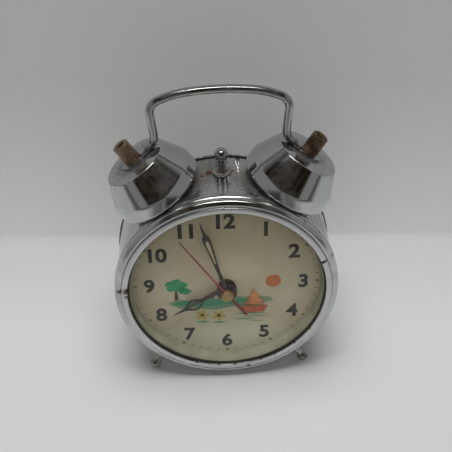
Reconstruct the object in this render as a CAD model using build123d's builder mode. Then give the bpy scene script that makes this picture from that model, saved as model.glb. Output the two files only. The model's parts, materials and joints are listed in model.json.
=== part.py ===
from build123d import *
import os
from math import atan2, cos, degrees, hypot, radians, sin, sqrt

# A mechanical alarm clock with two bells, a wire handle and ball feet, in millimetres.
# It stands on z = 0, on its two feet and the rear rim of its case, and leans back a little.
# Places are given in the clock's own frame, whose origin is the middle of the dial's front:
# x to the right and y up along the dial, z out of the dial towards the reader.
# Headings in that frame are degrees from x towards y, and bearings are degrees from the
# top of the dial, clockwise as the reader sees it.

os.makedirs("parts", exist_ok=True)

# Stance
lean = 6.0
ball_flat = 0.15

# Clearances
running = 0.05
loose = 0.35
seat_gap = 0.02
end_play = 0.15

# Case, a drum with a rolled rim at the rear
case_r = 54.4
case_wall = 0.8
case_front = 4.6
case_rear = -34.0
rim_proud = 0.6
rim_width = 1.8
rim_edge = 0.4
lug_reach = 5.0
lug_width = 9.0
lug_t = 0.9

# Bezel, a pressed ring with two ridges
bezel_rear = 0.8
bezel_t = 0.5
ridge_proud = 1.2
shoulder_inset = 0.5
bezel_face_inset = 2.4
bezel_face_z = 7.9

# Split ring that holds the glass
ring_lip = 3.0
ring_front = 8.5
ring_lip_t = 0.5
ring_wall = 0.6
ring_split = 0.9
ring_split_bearing = 70.0

# Domed glass and the cone below it
glass_t = 1.4
glass_rise = 7.6
glass_edge_z = 5.6
cone_inset = 2.0
cone_t = 0.5

# Dial
dial_t = 0.5
collar_r = 4.6
collar_h = 0.5
dial_foot_r = 1.3
dial_foot_places = [(-29.0, 22.0), (31.0, 17.0), (-8.0, -28.0)]
figure_hole_r = 1.2

# Back cover
cover_t = 0.6
cover_rise = 1.5
cover_flange = 6.45
cover_screw_r = 1.1
cover_screw_head_r = 2.1
cover_screw_head_t = 1.0
cover_screw_edge = 0.4
cover_screw_bearings = [60.0, 180.0, 300.0]
cover_hole_margin = 0.9

# Bells, on posts that lean outwards
post_bearing = 33.0
post_z = -17.6
bell_gap = 1.6
bell_height = 19.6
bell_mouth_r = 22.5
bell_waist_r = 22.0
bell_waist_h = 8.8
bell_top_r = 16.4
bell_wall = 0.9
post_r = 3.0
post_neck_r = 2.0
post_stud_r = 1.6
post_show = 9.4

# Handle, a bent wire with a flattened eye at each end
wire_r = 2.05
eye_r = 6.6
eye_t = 1.3
eye_tongue = 5.2
eye_tongue_half = 3.8
wire_end = 9.5
handle_rise = 35.1
handle_shoulder_in = 22.3
handle_shoulder_rise = 32.8
handle_corner_in = 9.9
handle_corner_rise = 28.1
handle_top_bend = 120.0
handle_shoulder_bend = 40.0
handle_corner_bend = 6.8
handle_leg_bend = 7.4
handle_foot_run = 4.6

# Brass nuts over the handle's eyes
nut_r = 4.0
nut_length = 9.6
nut_edge = 0.4

# Ball feet
foot_bearing = 144.6
foot_z = -2.4
foot_ball_r = 2.75
foot_neck_r = 1.6
foot_collar_r = 2.3
foot_collar_h = 2.6
foot_stud_r = 1.3
foot_nut_r = 2.9
foot_nut_t = 2.2

# Stop knob on top
stop_rod_r = 1.6
stop_ball_r = 3.4
stop_stand = 10.4
stop_tip_at = 39.7
stop_travel = 3.0
stop_ring_r = 2.7
stop_ring_t = 0.8
ferrule_r = 2.5
ferrule_flange_r = 4.7
ferrule_flange_t = 1.0
ferrule_stand = 2.2
ferrule_sink = 2.0

# Movement frame
plate_front = -7.0
plate_t = 1.2
plate_gap = 18.8
plate_margin = 3.9
pillar_r = 3.0
pillar_pin_r = 1.2
pillar_reach = 44.0
corner_pillar_heading = -32.0
lower_pillar_reach = 37.74
lower_pillar_heading = -122.0
pillar_nut_r = 2.6
pillar_nut_t = 1.8
anchor_r = 1.2

# Tooth shapes, as shares of the module and of the tooth pitch
wheel_add = 0.9
wheel_ded = 1.2
wheel_base = 0.2
wheel_tip = 0.05
leaf_add = 0.6
leaf_ded = 1.2
leaf_base = 0.13
leaf_tip = 0.07

# Going train: a wheel drives the pinion of the next arbor
great_teeth = 48
great_module = 0.8
centre_teeth = 48
centre_module = 0.73
third_teeth = 45
third_module = 0.66
fourth_teeth = 48
fourth_module = 0.56
leaves = 6
escape_teeth = 15
wheel_t = 0.7
great_wheel_t = 1.0
leaf_width = 1.6
arbor_r = 0.8
pivot_r = 0.5
centre_tube_r = 1.6

# Depths of the wheels, each the front face of its wheel
centre_wheel_z = -9.6
third_wheel_z = -12.6
fourth_wheel_z = -16.4
escape_wheel_z = -20.2
great_wheel_z = -24.2
ratchet_z = -22.4
ratchet_t = 1.4
lever_z = -22.2
lever_t = 0.6

# Places of the arbors
axis_at = (0.0, 0.0)
centre_at = (-10.0, 18.0)
great_heading = 217.4
escape_heading = -75.0
figure_at = (13.0, -16.0)
balance_at = (22.0, -24.0)

# Springs
spring_t = 0.4
spring_turns = 6
time_spring_r = 12.4
time_spring_width = 11.0
alarm_spring_r = 11.3
alarm_spring_width = 7.0
spring_core_r = 3.3
time_anchor_heading = -60.0
alarm_anchor_heading = -110.0

# Winding arbors and keys
winding_arbor_r = 1.8
winding_core_r = 2.6
winding_pivot_r = 1.5
ratchet_r = 6.0
ratchet_teeth = 16
key_front = -36.6
key_rear = -45.4
key_hub_r = 3.4
key_half_span = 12.0
key_wing_t = 1.6
key_hole_r = 1.7
key_heading = 18.0

# Rear knobs
knob_front = -36.6
knob_length = 5.6
knob_r = 5.6
knob_flutes = 18
knob_flute_depth = 0.5
setting_arbor_r = 1.3
setting_collar_r = 1.8
clutch_z = -9.1
clutch_t = 0.3
clutch_reach = 5.0

# Escapement, balance and regulator
pallet_half_angle = 54.0
pallet_pin_r = 0.25
pallet_swing = 5.0
pallet_clear = 0.05
lever_arm_half = 0.7
roller_pin_at = 2.6
roller_pin_r = 0.35
fork_clear = 0.15
balance_r = 10.0
balance_rim = 1.8
balance_rim_t = 1.6
balance_z = -17.0
balance_hub_r = 2.4
balance_arm_half = 1.0
staff_r = 0.9
staff_pivot_r = 0.4
roller_r = 3.2
roller_z = -18.9
roller_t = 0.6
roller_pin_end = -23.2
hairspring_z = -24.6
hairspring_width = 0.6
hairspring_t = 0.25
hairspring_inner = 1.7
hairspring_outer = 6.4
hairspring_turns = 5
hairspring_stud_r = 0.6
hairspring_stud_heading = -90.0
balance_screw_r = 1.6
balance_screw_head_r = 2.4
balance_screw_head_t = 1.2
balance_screw_gap = 1.4
balance_cup = 0.8
regulator_t = 0.6
regulator_r = 3.4
regulator_reach = 13.0
regulator_heading = 200.0
regulator_swing = 20.0
regulator_tab = 8.8
regulator_half = 1.0
regulator_slot_margin = 1.6

# Motion work
motion_module = 0.45
minute_wheel_teeth = 48
cannon_teeth = 16
hour_wheel_teeth = 48
minute_leaves = 12
motion_wheel_t = 0.6
minute_wheel_z = -4.4
cannon_z = -4.2
cannon_width = 1.0
hour_wheel_z = -3.0
alarm_wheel_z = -1.3
alarm_wheel_teeth = 48
alarm_set_leaves = 12
alarm_set_module = 0.52
alarm_set_heading = -110.0
seconds_r = 0.7
minute_pipe_r = 1.5
hour_pipe_r = 2.3
alarm_pipe_r = 3.1

# Hands: the depth of each, and where it points at rest
hand_t = 0.35
alarm_hand_z = 2.4
alarm_hand_length = 25.0
alarm_hand_waist = 14.0
alarm_hand_bearing = -122.7
hour_hand_z = 4.3
hour_hand_length = 31.4
hour_hand_bearing = -120.2
minute_hand_z = 7.4
minute_hand_drop = 1.2
minute_tip_gap = 4.7
minute_hand_bearing = -15.4
minute_boss_r = 4.9
second_hand_z = 9.1
second_hand_drop = 1.6
second_tip_gap = 9.7
second_tail = 17.0
second_hand_bearing = -33.6
second_hub_r = 3.5
second_bush_r = 3.1
second_bush_front = 11.0

# Rocking figure on the dial, a little boat cut from sheet
figure_z = 1.0
figure_t = 0.4
deck_half = 7.4
deck_y = 1.2
keel_half = 5.4
keel_y = -2.8
mast_top = 12.2
mast_half = 0.3

# Alarm train and hammer
alarm_at = (28.0, 3.0)
alarm_great_teeth = 48
alarm_great_module = 0.75
alarm_escape_heading = 100.0
alarm_escape_teeth = 12
alarm_escape_z = -19.6
alarm_escape_t = 0.8
alarm_pallet_half_angle = 52.5
alarm_pallet_distance = 9.9
alarm_pallet_heading = 137.0
hammer_pin_r = 0.4
hammer_swing = 1.5
hammer_plate_z = -21.4
hammer_plate_t = 0.8
hammer_arm_half = 0.8
hammer_arm_t = 1.2
hammer_head_r = 1.9
hammer_head_t = 5.0
hammer_right_in = 18.55
hammer_right_rise = 3.9
hammer_left_in = 17.95
hammer_left_rise = 4.3
hammer_knee = (-12.5, 37.0)
hammer_ankle = (-17.0, 43.5)
hammer_slot_half = 3.4
hammer_slot_depth = 2.6

# Alarm release spring, a leaf behind the hour wheel with a tail through the front plate
release_z = -3.9
release_t = 0.2
release_half = 1.5
release_foot = (9.0, -11.5)
release_knee = (8.0, 3.0)
release_window = (20.2, 34.0)
release_window_width = 3.6
release_window_height = 2.0
release_tail_end = -18.2

# What the case carries follows its radius
case_in = case_r - case_wall
rim_r = case_r + rim_proud
ridge_r = case_r + ridge_proud
shoulder_r = case_r - shoulder_inset
bezel_face_r = case_r - bezel_face_inset
ring_inner_r = bezel_face_r - ring_lip
cone_inner_r = ring_inner_r - cone_inset
minute_hand_length = ring_inner_r - minute_tip_gap
second_hand_length = ring_inner_r - second_tip_gap
bell_mouth = case_r + bell_gap
stop_ball_at = case_r + stop_stand
ferrule_top = case_r + ferrule_stand
ferrule_bottom = case_r - ferrule_sink

# The clock's own frame, placed so that the rim and the feet reach the ground and the
# whole object is centred over the origin
lean_back = radians(lean)
rim_low_z = case_rear + rim_edge
axis_height = rim_r * cos(lean_back) - rim_low_z * sin(lean_back)
glass_r = ring_inner_r + 1.6
dome_r = (glass_r**2 + glass_rise**2) / (2 * glass_rise)
dome_centre_z = glass_edge_z + glass_t + glass_rise - dome_r
front_reach = dome_centre_z * cos(lean_back) + dome_r
key_lift = key_half_span * sin(radians(key_heading)) + 5.0
rear_reach = -key_rear * cos(lean_back) + key_lift * sin(lean_back)
clock = Plane(
    origin=(0, (front_reach - rear_reach) / 2, axis_height),
    x_dir=(1, 0, 0),
    z_dir=(0, -cos(lean_back), sin(lean_back)),
)


def at(x, y, z):
    """A point of the clock's own frame in space."""
    return clock.from_local_coords((x, y, z))


def facing(z, place=(0, 0)):
    """A plane parallel to the dial at a depth, with its origin over a place."""
    return Plane(origin=at(*place, z), x_dir=clock.x_dir, z_dir=clock.z_dir)


def section(place=(0, 0)):
    """A plane through an arbor: x is the distance from it and y the depth."""
    return Plane(origin=at(*place, 0), x_dir=clock.x_dir, z_dir=-clock.y_dir)


def outward(bearing, distance=0.0, z=0.0):
    """A plane that faces away from the clock's middle, at a distance from it."""
    a = radians(bearing)
    across = clock.x_dir * cos(a) - clock.y_dir * sin(a)
    away = clock.x_dir * sin(a) + clock.y_dir * cos(a)
    return Plane(origin=at(distance * sin(a), distance * cos(a), z), x_dir=across, z_dir=away)


def spoke(bearing, z):
    """A plane parallel to the dial: x runs across a bearing and y outwards along it."""
    a = radians(bearing)
    across = clock.x_dir * cos(a) - clock.y_dir * sin(a)
    return Plane(origin=at(0, 0, z), x_dir=across, z_dir=clock.z_dir)


def polar(start, distance, heading):
    """The place at a distance and a heading from another."""
    a = radians(heading)
    return (start[0] + distance * cos(a), start[1] + distance * sin(a))


def heading_to(start, end):
    """The heading from one place to another."""
    return degrees(atan2(end[1] - start[1], end[0] - start[0]))


def span(start, end):
    """The distance between two places."""
    return hypot(end[0] - start[0], end[1] - start[1])


def meet(first, first_r, second, second_r, side):
    """Where two circles cross, on the left (1) or right (-1) of the line between them."""
    d = span(first, second)
    along = (first_r**2 - second_r**2 + d**2) / (2 * d)
    across = sqrt(first_r**2 - along**2) * side
    base = heading_to(first, second)
    return polar(polar(first, along, base), across, base + 90)


def crossing(start, end):
    """Where the line between two places passes through the case's wall."""
    share = (case_r - hypot(*start)) / (hypot(*end) - hypot(*start))
    return (start[0] + share * (end[0] - start[0]), start[1] + share * (end[1] - start[1]))


def reach(module, teeth, other_teeth):
    """The distance between the arbors of two meshed gears."""
    return module * (teeth + other_teeth) / 2


def meshing(phase, teeth, heading, other_teeth):
    """The tooth phase of the gear that lies at a heading from one of a known phase."""
    lead = (phase - heading) % (360 / teeth)
    return heading + 180 + 180 / other_teeth - lead * teeth / other_teeth


def turned(plane, axis, outline, mode=Mode.ADD):
    """Revolve a closed outline, drawn on a plane, about an axis."""
    with BuildSketch(plane) as profile:
        with BuildLine():
            Polyline(*outline, close=True)
        make_face()
    revolve(profile.sketch, axis=axis, mode=mode)


def arbor(place, *outline, mode=Mode.ADD):
    """A turned piece about the line through a place: (radius, depth) points."""
    turned(section(place), Axis(at(*place, 0), clock.z_dir), outline, mode)


def round_bar(place, radius, rear, front, bore=0.0, mode=Mode.ADD):
    """A round bar or tube about the line through a place."""
    arbor(place, (bore, rear), (radius, rear), (radius, front), (bore, front), mode=mode)


def post(bearing, z, *outline, mode=Mode.ADD):
    """A turned piece that stands out from the middle: (radius, distance) points."""
    plane = spoke(bearing, z)
    turned(plane, Axis(plane.origin, plane.y_dir), outline, mode)


def drill(plane, radius, depth):
    """Cut a round hole from a plane along its normal."""
    with BuildSketch(plane) as mouth:
        Circle(radius)
    extrude(mouth.sketch, amount=depth, mode=Mode.SUBTRACT)


def pierce(place, radius):
    """Cut a round hole along the clock's depth, right through the piece."""
    with BuildSketch(facing(0, place)) as mouth:
        Circle(radius)
    extrude(mouth.sketch, amount=-case_rear * 2, both=True, mode=Mode.SUBTRACT)


def tooth_corners(teeth, module, phase, add, ded, base, tip):
    """The corners of a gear's outline, four for each tooth."""
    pitch_r = module * teeth / 2
    root_r = pitch_r - ded * module
    tip_r = pitch_r + add * module
    step = 360 / teeth
    corners = []
    for tooth in range(teeth):
        middle = phase + tooth * step
        for share, radius in ((-base, root_r), (-tip, tip_r), (tip, tip_r), (base, root_r)):
            corners.append(polar((0, 0), radius, middle + share * step))
    return corners


def gear(place, teeth, module, phase, front, width, bore=0.0, windows=0, hub=3.0):
    """A wheel with straight-flanked teeth and, if asked, round windows between its arms."""
    rim = module * (teeth / 2 - wheel_ded) - 1.4
    window_r = min((rim - hub) / 2, (rim + hub) / 2 * sin(radians(150 / max(windows, 1))) - 0.4)
    with BuildSketch(facing(front, place)) as face:
        with BuildLine():
            corners = tooth_corners(teeth, module, phase, wheel_add, wheel_ded, wheel_base, wheel_tip)
            Polyline(*corners, close=True)
        make_face()
        if bore:
            Circle(bore, mode=Mode.SUBTRACT)
        if windows:
            with PolarLocations((rim + hub) / 2, windows, start_angle=phase):
                Circle(window_r, mode=Mode.SUBTRACT)
    extrude(face.sketch, amount=-width)


def pinion(place, teeth, module, phase, front, width, bore=0.0):
    """A pinion with narrow leaves."""
    with BuildSketch(facing(front, place)) as face:
        with BuildLine():
            corners = tooth_corners(teeth, module, phase, leaf_add, leaf_ded, leaf_base, leaf_tip)
            Polyline(*corners, close=True)
        make_face()
        if bore:
            Circle(bore, mode=Mode.SUBTRACT)
    extrude(face.sketch, amount=-width)


def saw_wheel(place, teeth, tip_r, root_r, phase, front, width, bore=0.0):
    """A wheel with pointed teeth that lean one way, for a ratchet or an escapement."""
    step = 360 / teeth
    corners = []
    for tooth in range(teeth):
        middle = phase + tooth * step
        corners.append(polar((0, 0), tip_r, middle))
        corners.append(polar((0, 0), tip_r, middle + step * 0.12))
        corners.append(polar((0, 0), root_r, middle + step * 0.4))
    with BuildSketch(facing(front, place)) as face:
        with BuildLine():
            Polyline(*corners, close=True)
        make_face()
        if bore:
            Circle(bore, mode=Mode.SUBTRACT)
    extrude(face.sketch, amount=-width)


def bar(front, width, start, end, half, end_half=None):
    """A flat bar with round ends between two places, its front face at a depth."""
    end_half = end_half or half
    square = heading_to(start, end) + 90
    with BuildSketch(facing(front)) as face:
        with BuildLine():
            Polyline(
                polar(start, half, square),
                polar(end, end_half, square),
                polar(end, -end_half, square),
                polar(start, -half, square),
                close=True,
            )
        make_face()
        with Locations(start):
            Circle(half)
        with Locations(end):
            Circle(end_half)
    extrude(face.sketch, amount=-width)


def spiral(place, inner, outer, turns, strip, front, width, end_heading):
    """A flat spiral strip whose outer end lies at a heading."""
    sides = 14
    count = turns * sides
    path = []
    for corner in range(count + 1):
        heading = end_heading - 360 * (count - corner) / sides
        path.append((inner + (outer - inner) * corner / count, heading))
    outside = [polar((0, 0), r + strip / 2, heading) for r, heading in path]
    inside = [polar((0, 0), r - strip / 2, heading) for r, heading in reversed(path)]
    with BuildSketch(facing(front, place)) as face:
        with BuildLine():
            Polyline(*outside, *inside, close=True)
        make_face()
    extrude(face.sketch, amount=-width)


def staff(place, front=plate_front, rear=plate_front - 2 * plate_t - plate_gap):
    """An arbor between the plates, with a thinner pivot at each end."""
    arbor(
        place,
        (0, front),
        (pivot_r, front),
        (pivot_r, plate_front - plate_t - end_play),
        (arbor_r, plate_front - plate_t - end_play),
        (arbor_r, plate_front - plate_t - plate_gap + end_play),
        (pivot_r, plate_front - plate_t - plate_gap + end_play),
        (pivot_r, rear),
        (0, rear),
    )


def blade(bearing, outline, opening=None):
    """A hand's plan, given as (distance along it, half width) points, as deep as the clock."""
    with BuildSketch(spoke(bearing, 0)) as plan:
        with BuildLine():
            Polyline(*[(w, r) for r, w in outline], *[(-w, r) for r, w in reversed(outline)], close=True)
        make_face()
        if opening:
            with BuildLine():
                Polyline(*[(w, r) for r, w in opening], *[(-w, r) for r, w in reversed(opening)], close=True)
            make_face(mode=Mode.SUBTRACT)
    return plan.sketch


def along(bearing):
    """A plane through the middle line of a hand: x runs out along it and y is the depth."""
    flat = spoke(bearing, 0)
    return Plane(origin=flat.origin, x_dir=flat.y_dir, z_dir=flat.x_dir)


def save(name, label):
    """Label a finished piece and write it."""
    name.part.label = label
    export_step(name.part, f"parts/{label}.step")


# Places that follow from the gears
great_at = polar(centre_at, reach(great_module, great_teeth, leaves), great_heading)
third_reach = reach(centre_module, centre_teeth, leaves)
fourth_reach = reach(third_module, third_teeth, leaves)
third_at = meet(centre_at, third_reach, axis_at, fourth_reach, 1)
escape_at = polar(axis_at, reach(fourth_module, fourth_teeth, leaves), escape_heading)
motion_reach = reach(motion_module, minute_wheel_teeth, cannon_teeth)
minute_at = meet(centre_at, motion_reach, axis_at, motion_reach, -1)
hour_module = 2 * motion_reach / (hour_wheel_teeth + minute_leaves)
alarm_set_at = polar(axis_at, reach(alarm_set_module, alarm_wheel_teeth, alarm_set_leaves), alarm_set_heading)
alarm_reach = reach(alarm_great_module, alarm_great_teeth, leaves)
alarm_escape_at = polar(alarm_at, alarm_reach, alarm_escape_heading)
hammer_at = polar(alarm_escape_at, alarm_pallet_distance, alarm_pallet_heading)
hammer_right, hammer_left = (
    polar(polar(axis_at, bell_mouth + rise, 90 - side * post_bearing), inset, side * (180 - post_bearing) + offset)
    for side, inset, rise, offset in (
        (1, hammer_right_in, hammer_right_rise, 0),
        (-1, hammer_left_in, hammer_left_rise, 180),
    )
)

# Depths and radii that follow from the sizes above
plate_back = plate_front - plate_t
rear_plate_front = plate_back - plate_gap
rear_plate_back = rear_plate_front - plate_t
bell_top = bell_mouth + bell_height
eye_top = bell_top + eye_t
glass_front_edge = glass_edge_z + glass_t
dial_r = glass_r + 0.4
cover_front = case_rear + cover_t + 0.1
cover_back = cover_front - cover_t
cover_panel_front = cover_front - cover_rise
cover_r = case_in - 0.15
cover_panel_r = cover_r - cover_flange
cover_screw_reach = cover_r - cover_screw_head_r - cover_screw_edge
leaf_lead = (leaf_width - wheel_t) / 2
spring_rear = ratchet_z + 0.6
pallet_distance = span(escape_at, figure_at)
pallet_arm = pallet_distance * sin(radians(pallet_half_angle))
pallet_reach = pallet_distance * cos(radians(pallet_half_angle))
escape_tip_r = pallet_reach - pallet_arm * sin(radians(pallet_swing)) - pallet_pin_r - pallet_clear
alarm_arm = alarm_pallet_distance * sin(radians(alarm_pallet_half_angle))
alarm_pin_reach = alarm_pallet_distance * cos(radians(alarm_pallet_half_angle))
alarm_tip_r = alarm_pin_reach - alarm_arm * sin(radians(hammer_swing)) - hammer_pin_r - pallet_clear
fork_reach = span(figure_at, balance_at) - roller_pin_at - roller_pin_r - fork_clear
knob_rear = knob_front - knob_length
foot_axis_z = axis_height + foot_z * sin(lean_back)
foot_ball_at = (foot_axis_z - foot_ball_r + ball_flat) / cos(lean_back) / -cos(radians(foot_bearing))

# Tooth phases: each gear faces the next one in mesh
great_phase = heading_to(great_at, centre_at)
centre_leaf_phase = meshing(great_phase, great_teeth, great_phase, leaves)
centre_phase = heading_to(centre_at, third_at)
third_leaf_phase = meshing(centre_phase, centre_teeth, centre_phase, leaves)
third_phase = heading_to(third_at, axis_at)
fourth_leaf_phase = meshing(third_phase, third_teeth, third_phase, leaves)
fourth_phase = heading_to(axis_at, escape_at)
escape_leaf_phase = meshing(fourth_phase, fourth_teeth, fourth_phase, leaves)
cannon_phase = heading_to(centre_at, minute_at)
minute_phase = meshing(cannon_phase, cannon_teeth, cannon_phase, minute_wheel_teeth)
pipe_phase = meshing(minute_phase, minute_wheel_teeth, heading_to(minute_at, axis_at), cannon_teeth)
minute_leaf_phase = heading_to(minute_at, axis_at)
hour_phase = meshing(minute_leaf_phase, minute_leaves, minute_leaf_phase, hour_wheel_teeth)
alarm_wheel_phase = heading_to(axis_at, alarm_set_at)
alarm_set_phase = meshing(alarm_wheel_phase, alarm_wheel_teeth, alarm_wheel_phase, alarm_set_leaves)
alarm_phase = heading_to(alarm_at, alarm_escape_at)
alarm_leaf_phase = meshing(alarm_phase, alarm_great_teeth, alarm_phase, leaves)

# Case
with BuildPart() as case:
    arbor(
        axis_at,
        (case_in, case_front),
        (case_r, case_front),
        (case_r, case_rear + rim_width + rim_edge),
        (rim_r, case_rear + rim_width),
        (rim_r, rim_low_z),
        (rim_r - rim_edge, case_rear),
        (case_in, case_rear),
    )
    for bearing in cover_screw_bearings:
        with BuildSketch(outward(bearing, case_in - lug_reach, cover_front + lug_t / 2)) as lug:
            Rectangle(lug_width, lug_t)
        extrude(lug.sketch, amount=lug_reach + case_wall / 2)
        pierce(polar(axis_at, cover_screw_reach, 90 - bearing), cover_screw_r)
    for side in (-1, 1):
        drill(outward(side * post_bearing, case_in - 1, post_z), post_stud_r + running, 4)
        drill(outward(side * foot_bearing, case_in - 1, foot_z), foot_stud_r + running, 4)
    drill(outward(0, case_in - 2, post_z), ferrule_r, 6)
    for arm in (crossing(hammer_at, hammer_right), crossing(hammer_ankle, hammer_left)):
        with BuildSketch(outward(0, case_r * cos(radians(post_bearing)), post_z)) as slot:
            with Locations((arm[0], 0)):
                Rectangle(hammer_slot_half * 2, hammer_slot_depth)
        extrude(slot.sketch, amount=case_r / 2, mode=Mode.SUBTRACT)
save(case, "case")

# Bezel
with BuildPart() as bezel:
    arbor(
        axis_at,
        (case_r, bezel_rear),
        (ridge_r - 0.3, bezel_rear),
        (ridge_r, bezel_rear + 1.2),
        (ridge_r - 0.2, bezel_rear + 2.6),
        (case_r + bezel_t, bezel_rear + 3.2),
        (ridge_r - 0.3, bezel_rear + 4.2),
        (ridge_r - 0.5, bezel_rear + 5.4),
        (shoulder_r + 0.3, bezel_face_z - 0.4),
        (shoulder_r - 0.7, bezel_face_z),
        (bezel_face_r + 0.5, bezel_face_z),
        (bezel_face_r, bezel_face_z - 0.6),
        (bezel_face_r, bezel_face_z - 1.4),
        (shoulder_r - 0.7, bezel_face_z - bezel_t - 0.3),
        (case_r, case_front + 1.0),
    )
save(bezel, "bezel")

# Split ring over the glass
ring_outer_r = bezel_face_r
ring_seat_z = glass_front_edge + 0.1
lip_seat_z = dome_centre_z + sqrt(dome_r**2 - ring_inner_r**2) + 0.1
with BuildPart() as glass_ring:
    arbor(
        axis_at,
        (ring_inner_r, lip_seat_z),
        (ring_inner_r, ring_front - ring_lip_t),
        (ring_inner_r + 0.4, ring_front - 0.1),
        (ring_outer_r - 0.9, ring_front),
        (ring_outer_r, ring_front - 0.6),
        (ring_outer_r, glass_edge_z),
        (ring_outer_r - ring_wall, glass_edge_z),
        (ring_outer_r - ring_wall, ring_seat_z),
        (glass_r, ring_seat_z),
    )
    with BuildSketch(spoke(ring_split_bearing, 0)) as split_gap:
        with Locations((0, ring_inner_r)):
            Rectangle(ring_split, 8 * ring_wall + 4)
    extrude(split_gap.sketch, amount=ring_front + 1, mode=Mode.SUBTRACT)
save(glass_ring, "glass_ring")

# Glass, a shallow dome of even thickness
with BuildPart() as glass:
    with BuildSketch(section()) as dome:
        with BuildLine():
            inner_top = glass_edge_z + glass_rise
            half_height = dome_centre_z + sqrt(dome_r**2 - (glass_r / 2) ** 2)
            Line((0, inner_top), (0, inner_top + glass_t))
            ThreePointArc((0, inner_top + glass_t), (glass_r / 2, half_height), (glass_r, glass_front_edge))
            Line((glass_r, glass_front_edge), (glass_r, glass_edge_z))
            ThreePointArc((glass_r, glass_edge_z), (glass_r / 2, half_height - glass_t), (0, inner_top))
        make_face()
    revolve(dome.sketch, axis=Axis(clock.origin, clock.z_dir))
save(glass, "glass")

# Cone between the dial and the glass
with BuildPart() as dial_ring:
    arbor(
        axis_at,
        (cone_inner_r, 0),
        (cone_inner_r + 0.8, 0),
        (dial_r - 0.2, glass_edge_z - 0.6),
        (dial_r - 0.2, glass_edge_z),
        (dial_r - 0.2 - 2 * cone_t, glass_edge_z),
        (cone_inner_r, cone_t),
    )
save(dial_ring, "dial_ring")

# Dial with its raised collar and its feet
with BuildPart() as dial:
    round_bar(axis_at, dial_r, -dial_t, 0)
    arbor(
        axis_at,
        (0, -dial_t),
        (collar_r, -dial_t),
        (collar_r, 0),
        (collar_r - 0.5, collar_h),
        (0, collar_h),
    )
    for place in dial_foot_places:
        round_bar(place, dial_foot_r, plate_front, -dial_t)
    pierce(axis_at, alarm_pipe_r + loose)
    pierce(figure_at, figure_hole_r)
save(dial, "dial")

# Back cover, with a curved slot for the regulator's tail
slot_start = regulator_heading - regulator_swing - 6
slot_sweep = 2 * regulator_swing + 12
regulator_path = CenterArc((0, 0), regulator_reach, slot_start, slot_sweep)
with BuildPart() as back_cover:
    step_r = cover_panel_r + cover_rise
    arbor(
        axis_at,
        (0, cover_panel_front),
        (cover_panel_r - 0.3, cover_panel_front),
        (step_r - 0.3, cover_front),
        (cover_r, cover_front),
        (cover_r, cover_back),
        (step_r, cover_back),
        (cover_panel_r, cover_panel_front - cover_t),
        (0, cover_panel_front - cover_t),
    )
    for place, radius in (
        (great_at, winding_arbor_r),
        (alarm_at, winding_arbor_r),
        (centre_at, setting_arbor_r),
        (alarm_set_at, setting_arbor_r),
    ):
        pierce(place, radius + cover_hole_margin)
    for bearing in cover_screw_bearings:
        pierce(polar(axis_at, cover_screw_reach, 90 - bearing), cover_screw_r)
    with BuildSketch(facing(cover_front + 1, balance_at)) as slot:
        SlotArc(regulator_path, 2 * regulator_half + regulator_slot_margin)
    extrude(slot.sketch, amount=-2 * cover_rise - 4, mode=Mode.SUBTRACT)
save(back_cover, "back_cover")

# Screws of the back cover
with BuildPart() as back_cover_screws:
    for bearing in cover_screw_bearings:
        place = polar(axis_at, cover_screw_reach, 90 - bearing)
        arbor(
            place,
            (0, cover_front + lug_t + 0.6),
            (cover_screw_r, cover_front + lug_t + 0.6),
            (cover_screw_r, cover_back),
            (cover_screw_head_r, cover_back),
            (cover_screw_head_r - 0.5, cover_back - cover_screw_head_t),
            (0, cover_back - cover_screw_head_t),
        )
        with BuildSketch(facing(cover_back - cover_screw_head_t, place)) as kerf:
            Rectangle(0.5, 2 * cover_screw_head_r, rotation=bearing)
        extrude(kerf.sketch, amount=0.5, mode=Mode.SUBTRACT)
save(back_cover_screws, "back_cover_screws")

# Bells
for side, label in ((-1, "left_bell"), (1, "right_bell")):
    with BuildPart() as bell:
        plane = spoke(side * post_bearing, post_z)
        waist_at = bell_mouth + bell_waist_h
        bulge = ((bell_top_r + bell_waist_r) / 2 + 1.1, (bell_top + waist_at) / 2 + 1.1)
        inner_bulge = (bulge[0] - bell_wall, bulge[1] - bell_wall / 2)
        with BuildSketch(plane) as profile:
            with BuildLine():
                Polyline(
                    (bell_waist_r, waist_at),
                    (bell_mouth_r, bell_mouth + 1.5),
                    (bell_mouth_r, bell_mouth),
                    (bell_mouth_r - bell_wall, bell_mouth),
                    (bell_waist_r - bell_wall, waist_at),
                )
                ThreePointArc(
                    (bell_waist_r - bell_wall, waist_at),
                    inner_bulge,
                    (bell_top_r - bell_wall, bell_top - bell_wall),
                )
                Polyline(
                    (bell_top_r - bell_wall, bell_top - bell_wall),
                    (post_neck_r, bell_top - bell_wall),
                    (post_neck_r, bell_top),
                    (bell_top_r - 0.4, bell_top),
                    (bell_top_r, bell_top - 0.3),
                )
                ThreePointArc((bell_top_r, bell_top - 0.3), bulge, (bell_waist_r, waist_at))
            make_face()
        revolve(profile.sketch, axis=Axis(plane.origin, plane.y_dir))
    save(bell, label)

# Posts that carry the bells; their inner ends hold the upper pillars
with BuildPart() as bell_posts:
    for side in (-1, 1):
        post(
            side * post_bearing,
            post_z,
            (0, pillar_reach),
            (post_stud_r, pillar_reach),
            (post_stud_r, case_r),
            (post_r, case_r),
            (post_r, bell_top - bell_wall),
            (post_neck_r, bell_top - bell_wall),
            (post_neck_r, bell_top + post_show),
            (0, bell_top + post_show),
        )
save(bell_posts, "bell_posts")

# Brass nuts
with BuildPart() as bell_nuts:
    for side in (-1, 1):
        post(
            side * post_bearing,
            post_z,
            (post_neck_r, eye_top),
            (nut_r, eye_top),
            (nut_r, eye_top + nut_length - nut_edge),
            (nut_r - nut_edge, eye_top + nut_length),
            (post_neck_r + 0.4, eye_top + nut_length),
            (post_neck_r, eye_top + nut_length - 0.5),
        )
save(bell_nuts, "bell_nuts")

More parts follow.
